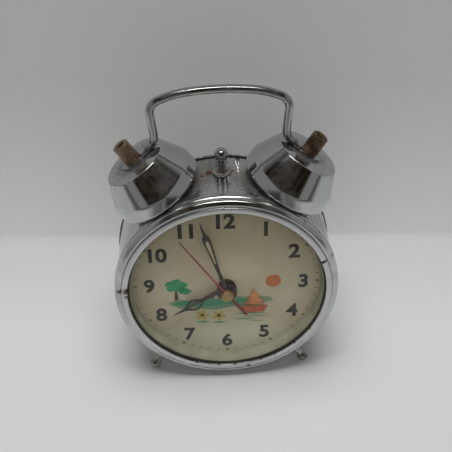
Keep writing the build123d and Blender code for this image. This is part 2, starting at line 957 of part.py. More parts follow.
# Handle
handle_seat = bell_top + seat_gap
foot_origin = polar((0, 0), handle_seat + wire_r, 90 - post_bearing)
handle_corner = (foot_origin[0] - handle_corner_in, foot_origin[1] + handle_corner_rise)
handle_shoulder = (foot_origin[0] - handle_shoulder_in, foot_origin[1] + handle_shoulder_rise)
foot_end = polar(foot_origin, wire_end, 180 - post_bearing)
foot_start = polar(foot_end, handle_foot_run, 180 - post_bearing)
half_path = [handle_shoulder, handle_corner, foot_start, foot_end]
with BuildPart() as handle:
    with BuildLine(facing(post_z)) as wire_line:
        FilletPolyline(
            *[(-x, y) for x, y in reversed(half_path)],
            (0, foot_origin[1] + handle_rise),
            *half_path,
            radius=[
                handle_leg_bend,
                handle_corner_bend,
                handle_shoulder_bend,
                handle_top_bend,
                handle_shoulder_bend,
                handle_corner_bend,
                handle_leg_bend,
            ],
        )
    with BuildSketch(Plane(origin=wire_line.wire() @ 0, z_dir=wire_line.wire() % 0)) as wire_face:
        Circle(wire_r)
    sweep(wire_face.sketch, path=wire_line.wire())
    for side in (-1, 1):
        inward = outward(side * post_bearing, handle_seat, post_z)
        tongue_dir = inward.x_dir * -side
        with BuildSketch(Plane(
            origin=inward.origin + tongue_dir * wire_end + inward.z_dir * wire_r,
            x_dir=clock.z_dir,
            z_dir=tongue_dir,
        )) as round_end:
            Circle(wire_r)
        with BuildSketch(Plane(
            origin=inward.origin + tongue_dir * eye_tongue + inward.z_dir * eye_t / 2,
            x_dir=clock.z_dir,
            z_dir=tongue_dir,
        )) as flat_end:
            Ellipse(eye_tongue_half, eye_t / 2)
        loft([flat_end.sketch.face(), round_end.sketch.face()])
        with BuildSketch(inward) as eye:
            Circle(eye_r)
        extrude(eye.sketch, amount=eye_t - seat_gap)
        drill(inward, post_neck_r, eye_t)
save(handle, "handle")

# Ball feet, each with a small worn flat where it stands, and their nuts in the case
with BuildPart() as feet:
    for side in (-1, 1):
        plane = spoke(side * foot_bearing, foot_z)
        post(
            side * foot_bearing,
            foot_z,
            (0, case_in - foot_nut_t),
            (foot_stud_r, case_in - foot_nut_t),
            (foot_stud_r, case_r),
            (foot_collar_r, case_r),
            (foot_collar_r, case_r + foot_collar_h - 0.5),
            (foot_neck_r, case_r + foot_collar_h),
            (foot_neck_r, foot_ball_at - 1.5),
            (0, foot_ball_at - 1.5),
        )
        with BuildSketch(plane) as ball:
            with Locations((0, foot_ball_at)):
                Circle(foot_ball_r)
            with Locations((-foot_ball_r, foot_ball_at)):
                Rectangle(2 * foot_ball_r, 3 * foot_ball_r, mode=Mode.SUBTRACT)
        revolve(ball.sketch, axis=Axis(plane.origin, plane.y_dir))
    split(bisect_by=Plane.XY, keep=Keep.TOP)
save(feet, "feet")

with BuildPart() as foot_nuts:
    for side in (-1, 1):
        with BuildSketch(outward(side * foot_bearing, case_in - foot_nut_t, foot_z)) as hexagon:
            RegularPolygon(foot_nut_r, 6)
            Circle(foot_stud_r, mode=Mode.SUBTRACT)
        extrude(hexagon.sketch, amount=foot_nut_t - 0.15)
save(foot_nuts, "foot_nuts")

# Stop knob in its ferrule
with BuildPart() as stop_ferrule:
    post(
        0,
        post_z,
        (stop_rod_r + running, ferrule_bottom),
        (ferrule_r, ferrule_bottom),
        (ferrule_r, case_r),
        (ferrule_flange_r, case_r),
        (ferrule_flange_r - 0.4, case_r + ferrule_flange_t),
        (ferrule_r + 0.2, case_r + ferrule_flange_t + 0.2),
        (ferrule_r - 0.3, ferrule_top),
        (stop_rod_r + running, ferrule_top),
    )
save(stop_ferrule, "stop_ferrule")

with BuildPart() as stop_button:
    ring_at = ferrule_bottom - 0.1 - stop_ring_t
    post(
        0,
        post_z,
        (0, stop_tip_at),
        (stop_rod_r - 0.5, stop_tip_at),
        (stop_rod_r, stop_tip_at + 0.6),
        (stop_rod_r, ring_at),
        (stop_ring_r, ring_at),
        (stop_ring_r, ring_at + stop_ring_t),
        (stop_rod_r, ring_at + stop_ring_t),
        (stop_rod_r, stop_ball_at - 2.0),
        (0, stop_ball_at - 2.0),
    )
    plane = spoke(0, post_z)
    with BuildSketch(plane) as ball:
        with Locations((0, stop_ball_at)):
            Circle(stop_ball_r)
        with Locations((-stop_ball_r, stop_ball_at)):
            Rectangle(2 * stop_ball_r, 3 * stop_ball_r, mode=Mode.SUBTRACT)
    revolve(ball.sketch, axis=Axis(plane.origin, plane.y_dir))
save(stop_button, "stop_button")


# Movement plates: the hull of the pillars and the outer arbors
upper_pillars = [polar(axis_at, pillar_reach, 90 - side * post_bearing) for side in (-1, 1)]
lower_pillars = [
    polar(axis_at, pillar_reach, corner_pillar_heading),
    polar(axis_at, lower_pillar_reach, lower_pillar_heading),
]
pillar_places = upper_pillars + lower_pillars
time_anchor = polar(great_at, time_spring_r + spring_t / 2 + anchor_r, time_anchor_heading)
alarm_anchor = polar(alarm_at, alarm_spring_r + spring_t / 2 + anchor_r, alarm_anchor_heading)
for label, front in (("front_plate", plate_front), ("rear_plate", rear_plate_front)):
    with BuildPart() as plate:
        with BuildSketch(facing(front)) as outline:
            for place in pillar_places + [great_at]:
                with Locations(place):
                    Circle(plate_margin)
            make_hull()
        extrude(outline.sketch, amount=-plate_t)
        for place in pillar_places:
            pierce(place, pillar_pin_r)
        for place in (third_at, escape_at, alarm_escape_at, hammer_at, figure_at):
            pierce(place, pivot_r + running)
        for place in (great_at, alarm_at):
            pierce(place, winding_pivot_r + running)
        for place in (centre_at, alarm_set_at):
            pierce(place, arbor_r + running)
        pierce(balance_at, balance_screw_r)
        if label == "front_plate":
            pierce(axis_at, seconds_r + running)
            round_bar(minute_at, arbor_r, plate_back, alarm_wheel_z - motion_wheel_t - loose)
            for anchor in (time_anchor, alarm_anchor):
                round_bar(anchor, anchor_r, ratchet_z, plate_front - plate_t / 2)
            with BuildSketch(facing(front, release_window)) as window:
                Rectangle(release_window_width, release_window_height)
            extrude(window.sketch, amount=-plate_t, mode=Mode.SUBTRACT)
        else:
            pierce(axis_at, pivot_r + running)
    save(plate, label)

# Pillars; the upper two also take the inner ends of the bell posts
with BuildPart() as pillars:
    for place in pillar_places:
        arbor(
            place,
            (0, plate_front),
            (pillar_pin_r, plate_front),
            (pillar_pin_r, plate_back),
            (pillar_r, plate_back),
            (pillar_r, rear_plate_front),
            (pillar_pin_r, rear_plate_front),
            (pillar_pin_r, rear_plate_back - pillar_nut_t),
            (0, rear_plate_back - pillar_nut_t),
        )
    for side in (-1, 1):
        drill(outward(side * post_bearing, pillar_reach, post_z), post_stud_r, 2 * pillar_r)
save(pillars, "pillars")

with BuildPart() as pillar_nuts:
    for place in pillar_places:
        with BuildSketch(facing(rear_plate_back, place)) as hexagon:
            RegularPolygon(pillar_nut_r, 6)
            Circle(pillar_pin_r, mode=Mode.SUBTRACT)
        extrude(hexagon.sketch, amount=-pillar_nut_t)
save(pillar_nuts, "pillar_nuts")

# Mainsprings, each hooked to a stud of the front plate at its outer end
for label, place, outer, width, heading in (
    ("time_mainspring", great_at, time_spring_r, time_spring_width, time_anchor_heading),
    ("alarm_mainspring", alarm_at, alarm_spring_r, alarm_spring_width, alarm_anchor_heading),
):
    with BuildPart() as mainspring:
        spiral(place, spring_core_r, outer, spring_turns, spring_t, spring_rear + width, width, heading)
    save(mainspring, label)

# Winding arbors with their ratchets, and the butterfly keys on their rear ends
for label, place in (("time_winding", great_at), ("alarm_winding", alarm_at)):
    with BuildPart() as winding:
        arbor(
            place,
            (0, plate_front),
            (winding_pivot_r, plate_front),
            (winding_pivot_r, plate_back - end_play),
            (winding_core_r, plate_back - end_play),
            (winding_core_r, rear_plate_front + end_play),
            (winding_pivot_r, rear_plate_front + end_play),
            (winding_pivot_r, rear_plate_back - end_play),
            (winding_arbor_r, rear_plate_back - end_play),
            (winding_arbor_r, key_rear),
            (0, key_rear),
        )
        saw_wheel(place, ratchet_teeth, ratchet_r, ratchet_r - 1.0, 0, ratchet_z, ratchet_t)
    save(winding, label + "_arbor")
    with BuildPart() as key:
        round_bar(place, key_hub_r, key_rear, key_front)
        wing_r = (key_front - key_rear) / 2
        wing_plane = Plane(
            origin=at(*place, key_rear + wing_r),
            x_dir=clock.x_dir * cos(radians(key_heading)) + clock.y_dir * sin(radians(key_heading)),
            z_dir=clock.x_dir * -sin(radians(key_heading)) + clock.y_dir * cos(radians(key_heading)),
        )
        with BuildSketch(wing_plane) as wings:
            with Locations((key_half_span - wing_r, 0), (wing_r - key_half_span, 0)):
                Circle(wing_r)
                Circle(key_hole_r, mode=Mode.SUBTRACT)
            Rectangle(2 * (key_half_span - wing_r - key_hole_r - 1), wing_r)
        extrude(wings.sketch, amount=key_wing_t / 2, both=True)
        round_bar(place, winding_arbor_r, key_rear - 1, key_front + 1, mode=Mode.SUBTRACT)
    save(key, label + "_key")

# Great wheels; each turns on its winding arbor and carries the click of the ratchet
click_t = great_wheel_z - ratchet_z - 0.2
for label, place, module, phase in (
    ("time_great_wheel", great_at, great_module, great_phase),
    ("alarm_great_wheel", alarm_at, alarm_great_module, alarm_phase),
):
    with BuildPart() as great_wheel:
        great_bore = winding_core_r + running
        gear(place, great_teeth, module, phase, great_wheel_z, great_wheel_t, great_bore, 5, 8.0)
        click_start = polar(place, ratchet_r + 2.2, phase + 36)
        click_end = polar(place, ratchet_r + 1.0, phase + 86)
        bar(great_wheel_z - click_t, -click_t, click_start, click_end, 0.8, 0.5)
    save(great_wheel, label)

# Centre wheel on its tube, the setting arbor inside it and the star spring that drives it
with BuildPart() as centre_wheel:
    gear(centre_at, centre_teeth, centre_module, centre_phase, centre_wheel_z, wheel_t, 0, 5)
    round_bar(centre_at, centre_tube_r, rear_plate_front + end_play, centre_wheel_z + end_play)
    pinion(centre_at, leaves, great_module, centre_leaf_phase, great_wheel_z + leaf_lead, leaf_width)
    pierce(centre_at, arbor_r + running)
save(centre_wheel, "centre_wheel")

with BuildPart() as clutch_spring:
    with BuildSketch(facing(clutch_z, centre_at)) as star:
        Circle(setting_collar_r)
        with PolarLocations(clutch_reach / 2, 3):
            Rectangle(clutch_reach, 1.4)
        Circle(arbor_r, mode=Mode.SUBTRACT)
    extrude(star.sketch, amount=-clutch_t)
save(clutch_spring, "clutch_spring")

with BuildPart() as setting_arbor:
    cannon_front = cannon_z + 0.4
    arbor(
        centre_at,
        (0, cannon_front),
        (arbor_r, cannon_front),
        (arbor_r, plate_back - end_play),
        (setting_collar_r, plate_back - end_play),
        (setting_collar_r, clutch_z),
        (arbor_r, clutch_z),
        (arbor_r, rear_plate_back - end_play),
        (setting_arbor_r, rear_plate_back - end_play),
        (setting_arbor_r, knob_rear),
        (0, knob_rear),
    )
    pinion(centre_at, cannon_teeth, motion_module, cannon_phase, cannon_z, cannon_width)
save(setting_arbor, "setting_arbor")

# Rear knobs for the hands and for the alarm hand
for label, place in (("time_setting_knob", centre_at), ("alarm_setting_knob", alarm_set_at)):
    with BuildPart() as knob:
        corners = []
        for flute in range(2 * knob_flutes):
            corner_r = knob_r - knob_flute_depth * (flute % 2)
            corners.append(polar((0, 0), corner_r, flute * 180 / knob_flutes))
        with BuildSketch(facing(knob_front, place)) as face:
            with BuildLine():
                Polyline(*corners, close=True)
            make_face()
            Circle(setting_arbor_r, mode=Mode.SUBTRACT)
        extrude(face.sketch, amount=-knob_length)
    save(knob, label)

# Third wheel
with BuildPart() as third_wheel:
    gear(third_at, third_teeth, third_module, third_phase, third_wheel_z, wheel_t, arbor_r, 5)
save(third_wheel, "third_wheel")

with BuildPart() as third_arbor:
    staff(third_at)
    pinion(third_at, leaves, centre_module, third_leaf_phase, centre_wheel_z + leaf_lead, leaf_width)
save(third_arbor, "third_arbor")

# Fourth wheel, on the long arbor that carries the second hand
with BuildPart() as fourth_wheel:
    gear(axis_at, fourth_teeth, fourth_module, fourth_phase, fourth_wheel_z, wheel_t, arbor_r, 5)
save(fourth_wheel, "fourth_wheel")

with BuildPart() as seconds_arbor:
    staff(axis_at)
    round_bar(axis_at, seconds_r, plate_back - end_play, second_bush_front - 1.0)
    pinion(axis_at, leaves, third_module, fourth_leaf_phase, third_wheel_z + leaf_lead, leaf_width)
save(seconds_arbor, "seconds_arbor")

# Escape wheel
with BuildPart() as escape_wheel:
    escape_root_r = escape_tip_r - 1.3
    saw_wheel(escape_at, escape_teeth, escape_tip_r, escape_root_r, 0, escape_wheel_z, wheel_t, arbor_r)
save(escape_wheel, "escape_wheel")

with BuildPart() as escape_arbor:
    staff(escape_at)
    pinion(escape_at, leaves, fourth_module, escape_leaf_phase, fourth_wheel_z + leaf_lead, leaf_width)
save(escape_arbor, "escape_arbor")

# Pallet lever with two pins and a fork arm; its arbor reaches through the dial
with BuildPart() as pallet_lever:
    staff(figure_at, front=figure_z + figure_t + 0.4)
    pallet_heading = heading_to(escape_at, figure_at)
    for side in (-1, 1):
        pin = polar(escape_at, pallet_reach, pallet_heading + side * pallet_half_angle)
        bar(lever_z, lever_t, figure_at, pin, 1.2, lever_arm_half)
        round_bar(pin, pallet_pin_r, lever_z - lever_t, escape_wheel_z + end_play)
    fork_end = polar(figure_at, fork_reach - lever_arm_half, heading_to(figure_at, balance_at))
    bar(lever_z, lever_t, figure_at, fork_end, 1.2, lever_arm_half)
save(pallet_lever, "pallet_lever")

with BuildPart() as rocking_boat:
    with BuildSketch(facing(figure_z + figure_t, figure_at)) as boat:
        with BuildLine():
            Polyline(
                (-deck_half, deck_y),
                (-keel_half, keel_y),
                (keel_half, keel_y),
                (deck_half, deck_y),
                (mast_half, deck_y),
                (mast_half, deck_y + 1.6),
                (deck_half - 1.6, deck_y + 1.6),
                (mast_half, mast_top),
                (-mast_half, mast_top),
                (-mast_half, mast_top - 2.0),
                (-keel_half + 1.0, deck_y + 1.6),
                (-mast_half, deck_y + 1.6),
                (-mast_half, deck_y),
                close=True,
            )
        make_face()
        Circle(pivot_r, mode=Mode.SUBTRACT)
    extrude(boat.sketch, amount=-figure_t)
save(rocking_boat, "rocking_boat")

# Balance
balance_front_seat = plate_back - balance_screw_gap
balance_rear_seat = rear_plate_front + balance_screw_gap
with BuildPart() as balance_wheel:
    with BuildSketch(facing(balance_z, balance_at)) as face:
        Circle(balance_r)
        Circle(balance_r - balance_rim, mode=Mode.SUBTRACT)
        Rectangle(2 * balance_r - balance_rim, 2 * balance_arm_half)
        Circle(balance_hub_r)
        Circle(staff_r, mode=Mode.SUBTRACT)
    extrude(face.sketch, amount=-balance_rim_t)
save(balance_wheel, "balance_wheel")

with BuildPart() as balance_staff:
    arbor(
        balance_at,
        (0, balance_front_seat + balance_cup - end_play),
        (staff_pivot_r, balance_front_seat + balance_cup - end_play),
        (staff_pivot_r, balance_front_seat - end_play),
        (staff_r, balance_front_seat - end_play),
        (staff_r, roller_z),
        (roller_r, roller_z),
        (roller_r, roller_z - roller_t),
        (staff_r, roller_z - roller_t),
        (staff_r, balance_rear_seat + end_play),
        (staff_pivot_r, balance_rear_seat + end_play),
        (staff_pivot_r, balance_rear_seat - balance_cup + end_play),
        (0, balance_rear_seat - balance_cup + end_play),
    )
    roller_pin = polar(balance_at, roller_pin_at, heading_to(balance_at, figure_at))
    round_bar(roller_pin, roller_pin_r, roller_pin_end, roller_z - roller_t / 2)
save(balance_staff, "balance_staff")

with BuildPart() as balance_screws:
    arbor(
        balance_at,
        (0, balance_front_seat + balance_cup),
        (staff_pivot_r + running, balance_front_seat + balance_cup),
        (staff_pivot_r + running, balance_front_seat),
        (balance_screw_r, balance_front_seat),
        (balance_screw_r, plate_front),
        (balance_screw_head_r, plate_front),
        (balance_screw_head_r, plate_front + balance_screw_head_t),
        (0, plate_front + balance_screw_head_t),
    )
    rear_head = rear_plate_back - 2 * running - regulator_t
    arbor(
        balance_at,
        (0, balance_rear_seat - balance_cup),
        (staff_pivot_r + running, balance_rear_seat - balance_cup),
        (staff_pivot_r + running, balance_rear_seat),
        (balance_screw_r, balance_rear_seat),
        (balance_screw_r, rear_head),
        (balance_screw_head_r, rear_head),
        (balance_screw_head_r, rear_head - balance_screw_head_t),
        (0, rear_head - balance_screw_head_t),
    )
save(balance_screws, "balance_screws")

# Hairspring with the stud that holds its outer end on the rear plate
with BuildPart() as hairspring:
    spiral(
        balance_at,
        hairspring_inner,
        hairspring_outer,
        hairspring_turns,
        hairspring_t,
        hairspring_z,
        hairspring_width,
        hairspring_stud_heading,
    )
    round_bar(
        polar(balance_at, hairspring_outer, hairspring_stud_heading),
        hairspring_stud_r,
        rear_plate_front,
        hairspring_z + 0.2,
    )
save(hairspring, "hairspring")

# Regulator, turned by its tail behind the back cover
with BuildPart() as regulator:
    regulator_front = rear_plate_back - running
    tail = polar(balance_at, regulator_reach, regulator_heading)
    bar(regulator_front, regulator_t, balance_at, tail, regulator_r, regulator_half)
    round_bar(tail, regulator_half, regulator_front - regulator_tab, regulator_front)
    pierce(balance_at, balance_screw_r + running)
save(regulator, "regulator")

# Motion work between the front plate and the dial
with BuildPart() as minute_wheel:
    minute_bore = arbor_r + running
    gear(
        minute_at,
        minute_wheel_teeth,
        motion_module,
        minute_phase,
        minute_wheel_z,
        motion_wheel_t,
        minute_bore,
    )
    leaf_front = hour_wheel_z + 0.3
    pinion(
        minute_at,
        minute_leaves,
        hour_module,
        minute_leaf_phase,
        leaf_front,
        leaf_front - minute_wheel_z,
        minute_bore,
    )
save(minute_wheel, "minute_wheel")

with BuildPart() as minute_pipe:
    round_bar(axis_at, minute_pipe_r, cannon_z - cannon_width, minute_hand_z - 0.2)
    pinion(axis_at, cannon_teeth, motion_module, pipe_phase, cannon_z, cannon_width)
    pierce(axis_at, seconds_r + running)
save(minute_pipe, "minute_pipe")

with BuildPart() as hour_wheel:
    gear(axis_at, hour_wheel_teeth, hour_module, hour_phase, hour_wheel_z, motion_wheel_t)
    round_bar(axis_at, hour_pipe_r, hour_wheel_z - motion_wheel_t, hour_hand_z + 0.2)
    pierce(axis_at, minute_pipe_r + running)
save(hour_wheel, "hour_wheel")

with BuildPart() as alarm_wheel:
    gear(axis_at, alarm_wheel_teeth, alarm_set_module, alarm_wheel_phase, alarm_wheel_z, motion_wheel_t)
    round_bar(axis_at, alarm_pipe_r, alarm_wheel_z - motion_wheel_t, alarm_hand_z + 0.2)
    pierce(axis_at, hour_pipe_r + running)
save(alarm_wheel, "alarm_wheel")

with BuildPart() as alarm_setting_arbor:
    set_front = alarm_wheel_z + 0.3
    arbor(
        alarm_set_at,
        (0, set_front),
        (arbor_r, set_front),
        (arbor_r, rear_plate_back - end_play),
        (setting_arbor_r, rear_plate_back - end_play),
        (setting_arbor_r, knob_rear),
        (0, knob_rear),
    )
    pinion(alarm_set_at, alarm_set_leaves, alarm_set_module, alarm_set_phase, set_front, 1.2)
save(alarm_setting_arbor, "alarm_setting_arbor")

# Hands
with BuildPart() as alarm_hand:
    plan = blade(alarm_hand_bearing, [(alarm_pipe_r + 0.5, 1.0), (alarm_hand_waist, 0.8), (alarm_hand_length, 0.15)])
    extrude(plan, amount=alarm_hand_z)
    round_bar(axis_at, alarm_pipe_r + 1.4, alarm_hand_z - hand_t, alarm_hand_z)
    round_bar(axis_at, 2 * alarm_hand_length, -1, alarm_hand_z - hand_t, mode=Mode.SUBTRACT)
    pierce(axis_at, alarm_pipe_r)
save(alarm_hand, "alarm_hand")

heart = [
    (4.4, 0.45),
    (7.6, 0.45),
    (8.2, 1.1),
    (8.7, 1.25),
    (9.2, 1.1),
    (9.8, 0.45),
    (14.2, 0.5),
    (15.2, 1.6),
    (16.6, 2.7),
    (18.2, 3.45),
    (19.4, 3.6),
    (20.6, 3.3),
    (22.0, 2.4),
    (23.4, 1.4),
    (25.0, 0.75),
    (28.0, 0.45),
    (hour_hand_length, 0.12),
]
heart_opening = [(15.6, 0.4), (16.8, 1.6), (18.3, 2.5), (19.4, 2.65), (20.5, 2.3), (21.6, 1.5), (22.8, 0.3)]
with BuildPart() as hour_hand:
    plan = blade(hour_hand_bearing, heart, heart_opening)
    extrude(plan, amount=hour_hand_z)
    round_bar(axis_at, minute_boss_r, hour_hand_z - hand_t, hour_hand_z)
    round_bar(axis_at, 2 * hour_hand_length, -1, hour_hand_z - hand_t, mode=Mode.SUBTRACT)
    pierce(axis_at, hour_pipe_r)
save(hour_hand, "hour_hand")

spear = [
    (4.0, 1.0),
    (12.0, 0.8),
    (18.0, 1.0),
    (31.0, 1.75),
    (33.5, 1.95),
    (35.2, 1.7),
    (36.6, 0.75),
    (minute_hand_length, 0.12),
]
with BuildPart() as minute_hand:
    extrude(blade(minute_hand_bearing, spear), amount=2 * minute_hand_z)
    with BuildSketch(along(minute_hand_bearing)) as side_view:
        with BuildLine():
            tip_z = minute_hand_z - minute_hand_drop
            Polyline(
                (0, minute_hand_z),
                (minute_hand_length, tip_z),
                (minute_hand_length, tip_z - hand_t),
                (0, minute_hand_z - hand_t),
                close=True,
            )
        make_face()
    extrude(side_view.sketch, amount=minute_boss_r, both=True, mode=Mode.INTERSECT)
    arbor(
        axis_at,
        (0, minute_hand_z - 1.9),
        (minute_pipe_r + 0.9, minute_hand_z - 1.9),
        (minute_pipe_r + 0.9, minute_hand_z - 0.9),
        (minute_boss_r, minute_hand_z - 0.9),
        (minute_boss_r, minute_hand_z),
        (0, minute_hand_z),
    )
    pierce(axis_at, minute_pipe_r)
save(minute_hand, "minute_hand")

needle = [(-second_tail, 0.75), (0, 0.75), (0.1, 0.6), (second_hand_length, 0.25)]
with BuildPart() as second_hand:
    extrude(blade(second_hand_bearing, needle), amount=2 * second_hand_z)
    with BuildSketch(along(second_hand_bearing)) as side_view:
        with BuildLine():
            drop = second_hand_drop / second_hand_length
            Polyline(
                (-second_tail, second_hand_z - drop * second_tail),
                (0, second_hand_z),
                (second_hand_length, second_hand_z - second_hand_drop),
                (second_hand_length, second_hand_z - second_hand_drop - hand_t),
                (0, second_hand_z - hand_t),
                (-second_tail, second_hand_z - drop * second_tail - hand_t),
                close=True,
            )
        make_face()
    extrude(side_view.sketch, amount=second_hub_r, both=True, mode=Mode.INTERSECT)
    round_bar(axis_at, second_hub_r, second_hand_z - hand_t, second_hand_z)
    pierce(axis_at, seconds_r + 0.5)
save(second_hand, "second_hand")

with BuildPart() as second_hand_bush:
    arbor(
        axis_at,
        (seconds_r, second_hand_z - 1.1),
        (seconds_r + 0.5, second_hand_z - 1.1),
        (seconds_r + 0.5, second_hand_z),
        (second_bush_r, second_hand_z),
        (second_bush_r, second_bush_front - 0.7),
        (second_bush_r - 0.5, second_bush_front - 0.2),
        (second_bush_r - 1.4, second_bush_front),
        (0, second_bush_front),
        (0, second_bush_front - 1.0),
        (seconds_r, second_bush_front - 1.0),
    )
save(second_hand_bush, "second_hand_bush")

# Alarm escape wheel on its arbor, and the hammer lever with its anchor and two heads
with BuildPart() as alarm_escape_wheel:
    staff(alarm_escape_at)
    saw_wheel(
        alarm_escape_at,
        alarm_escape_teeth,
        alarm_tip_r,
        alarm_tip_r - 1.7,
        0,
        alarm_escape_z,
        alarm_escape_t,
    )
    pinion(
        alarm_escape_at,
        leaves,
        alarm_great_module,
        alarm_leaf_phase,
        great_wheel_z + leaf_lead,
        leaf_width,
    )
save(alarm_escape_wheel, "alarm_escape_wheel")

with BuildPart() as hammer_lever:
    staff(hammer_at)
    for side in (-1, 1):
        pin_heading = alarm_pallet_heading + side * alarm_pallet_half_angle
        pin = polar(alarm_escape_at, alarm_pin_reach, pin_heading)
        bar(hammer_plate_z, hammer_plate_t, hammer_at, pin, 1.4, hammer_arm_half)
        round_bar(pin, hammer_pin_r, hammer_plate_z - hammer_plate_t, alarm_escape_z + end_play)
    arm_front = post_z + hammer_arm_t / 2
    for start, end in (
        (hammer_at, hammer_right),
        (hammer_at, hammer_knee),
        (hammer_knee, hammer_ankle),
        (hammer_ankle, hammer_left),
    ):
        bar(arm_front, hammer_arm_t, start, end, hammer_arm_half)
    for head in (hammer_right, hammer_left):
        round_bar(head, hammer_head_r, post_z - hammer_head_t / 2, post_z + hammer_head_t / 2)
save(hammer_lever, "hammer_lever")

with BuildPart() as alarm_release_spring:
    bar(release_z, release_t, release_foot, release_knee, release_half)
    bar(release_z, release_t, release_knee, release_window, release_half, 0.9)
    round_bar(release_foot, release_half, plate_front, release_z)
    tail_depth = release_z - release_tail_end
    with BuildSketch(facing(release_z, release_window)) as tail_end:
        Rectangle(1.4, 0.4)
    extrude(tail_end.sketch, amount=-tail_depth)
save(alarm_release_spring, "alarm_release_spring")
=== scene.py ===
"""A wind-up alarm clock with two bells, dressed for Blender 4.5.

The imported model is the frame. Each sub-assembly below is a class that models what shows of it and
gives every piece its finish. Sizes are in millimetres in the clock's own frame, whose origin is the
middle of the dial's front: x to the right, y up along the dial, z out of it towards the reader.
"""

import json
import logging
import math
from dataclasses import dataclass
from enum import Enum
from functools import cache
from typing import Callable, Sequence

import bmesh
import bpy
from mathutils import Matrix, Vector

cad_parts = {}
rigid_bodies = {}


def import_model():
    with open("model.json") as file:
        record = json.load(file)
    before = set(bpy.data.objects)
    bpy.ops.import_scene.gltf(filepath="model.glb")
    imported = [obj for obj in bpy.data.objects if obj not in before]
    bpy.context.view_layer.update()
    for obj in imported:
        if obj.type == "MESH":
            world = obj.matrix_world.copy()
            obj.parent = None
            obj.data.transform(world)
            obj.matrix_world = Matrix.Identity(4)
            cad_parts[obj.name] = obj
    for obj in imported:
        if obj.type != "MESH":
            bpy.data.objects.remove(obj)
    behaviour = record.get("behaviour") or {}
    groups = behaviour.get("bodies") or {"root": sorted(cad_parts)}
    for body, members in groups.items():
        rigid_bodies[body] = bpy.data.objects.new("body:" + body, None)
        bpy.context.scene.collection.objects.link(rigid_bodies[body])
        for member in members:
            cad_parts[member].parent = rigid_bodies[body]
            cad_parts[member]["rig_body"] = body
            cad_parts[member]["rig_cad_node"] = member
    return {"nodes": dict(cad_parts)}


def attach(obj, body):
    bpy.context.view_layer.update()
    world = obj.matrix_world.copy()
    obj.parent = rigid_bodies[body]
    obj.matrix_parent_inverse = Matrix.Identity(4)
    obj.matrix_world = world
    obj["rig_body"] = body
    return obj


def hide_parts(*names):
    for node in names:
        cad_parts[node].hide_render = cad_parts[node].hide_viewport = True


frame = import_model()
LOG = logging.getLogger("alarm_clock")
MM = 0.001
Point = tuple[float, float]
Colour = tuple[float, float, float]
Place = tuple[float, float, float]
Spot = tuple[float, float, float, float]
Piece = bpy.types.Object
Socket = bpy.types.NodeSocket
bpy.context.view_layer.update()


@dataclass(frozen=True)
class Stance:
    """How the clock stands: it leans back on its rear rim."""

    lean_deg: float = 6.0
    origin_mm: Place = (0.0, -15.299, 58.2109)

    def matrix(self) -> Matrix:
        """The clock's own frame in space, in metres."""
        turn = Matrix.Rotation(math.radians(90.0 - self.lean_deg), 4, "X")
        return Matrix.Translation(Vector(self.origin_mm) * MM) @ turn

    def mapping(self) -> tuple[Vector, Vector]:
        """The location and rotation of a Mapping node that gives the clock's own coordinates."""
        inverse = self.matrix().inverted()
        return inverse.to_translation(), Vector(inverse.to_euler("XYZ"))

    def spoke(self, bearing: float, z: float) -> Matrix:
        """A frame whose z axis stands out from the middle at a bearing.

        Args:
            bearing: degrees from the top of the dial, clockwise.
            z: depth of the spoke, in millimetres.

        Returns:
            The frame in space; its y axis points out of the dial.
        """
        a = math.radians(bearing)
        away = Vector((math.sin(a), math.cos(a), 0.0))
        out = Vector((0.0, 0.0, 1.0))
        across = out.cross(away)
        turn = Matrix((across, out, away)).transposed().to_4x4()
        return self.matrix() @ Matrix.Translation((0.0, 0.0, z * MM)) @ turn


STANCE = Stance()


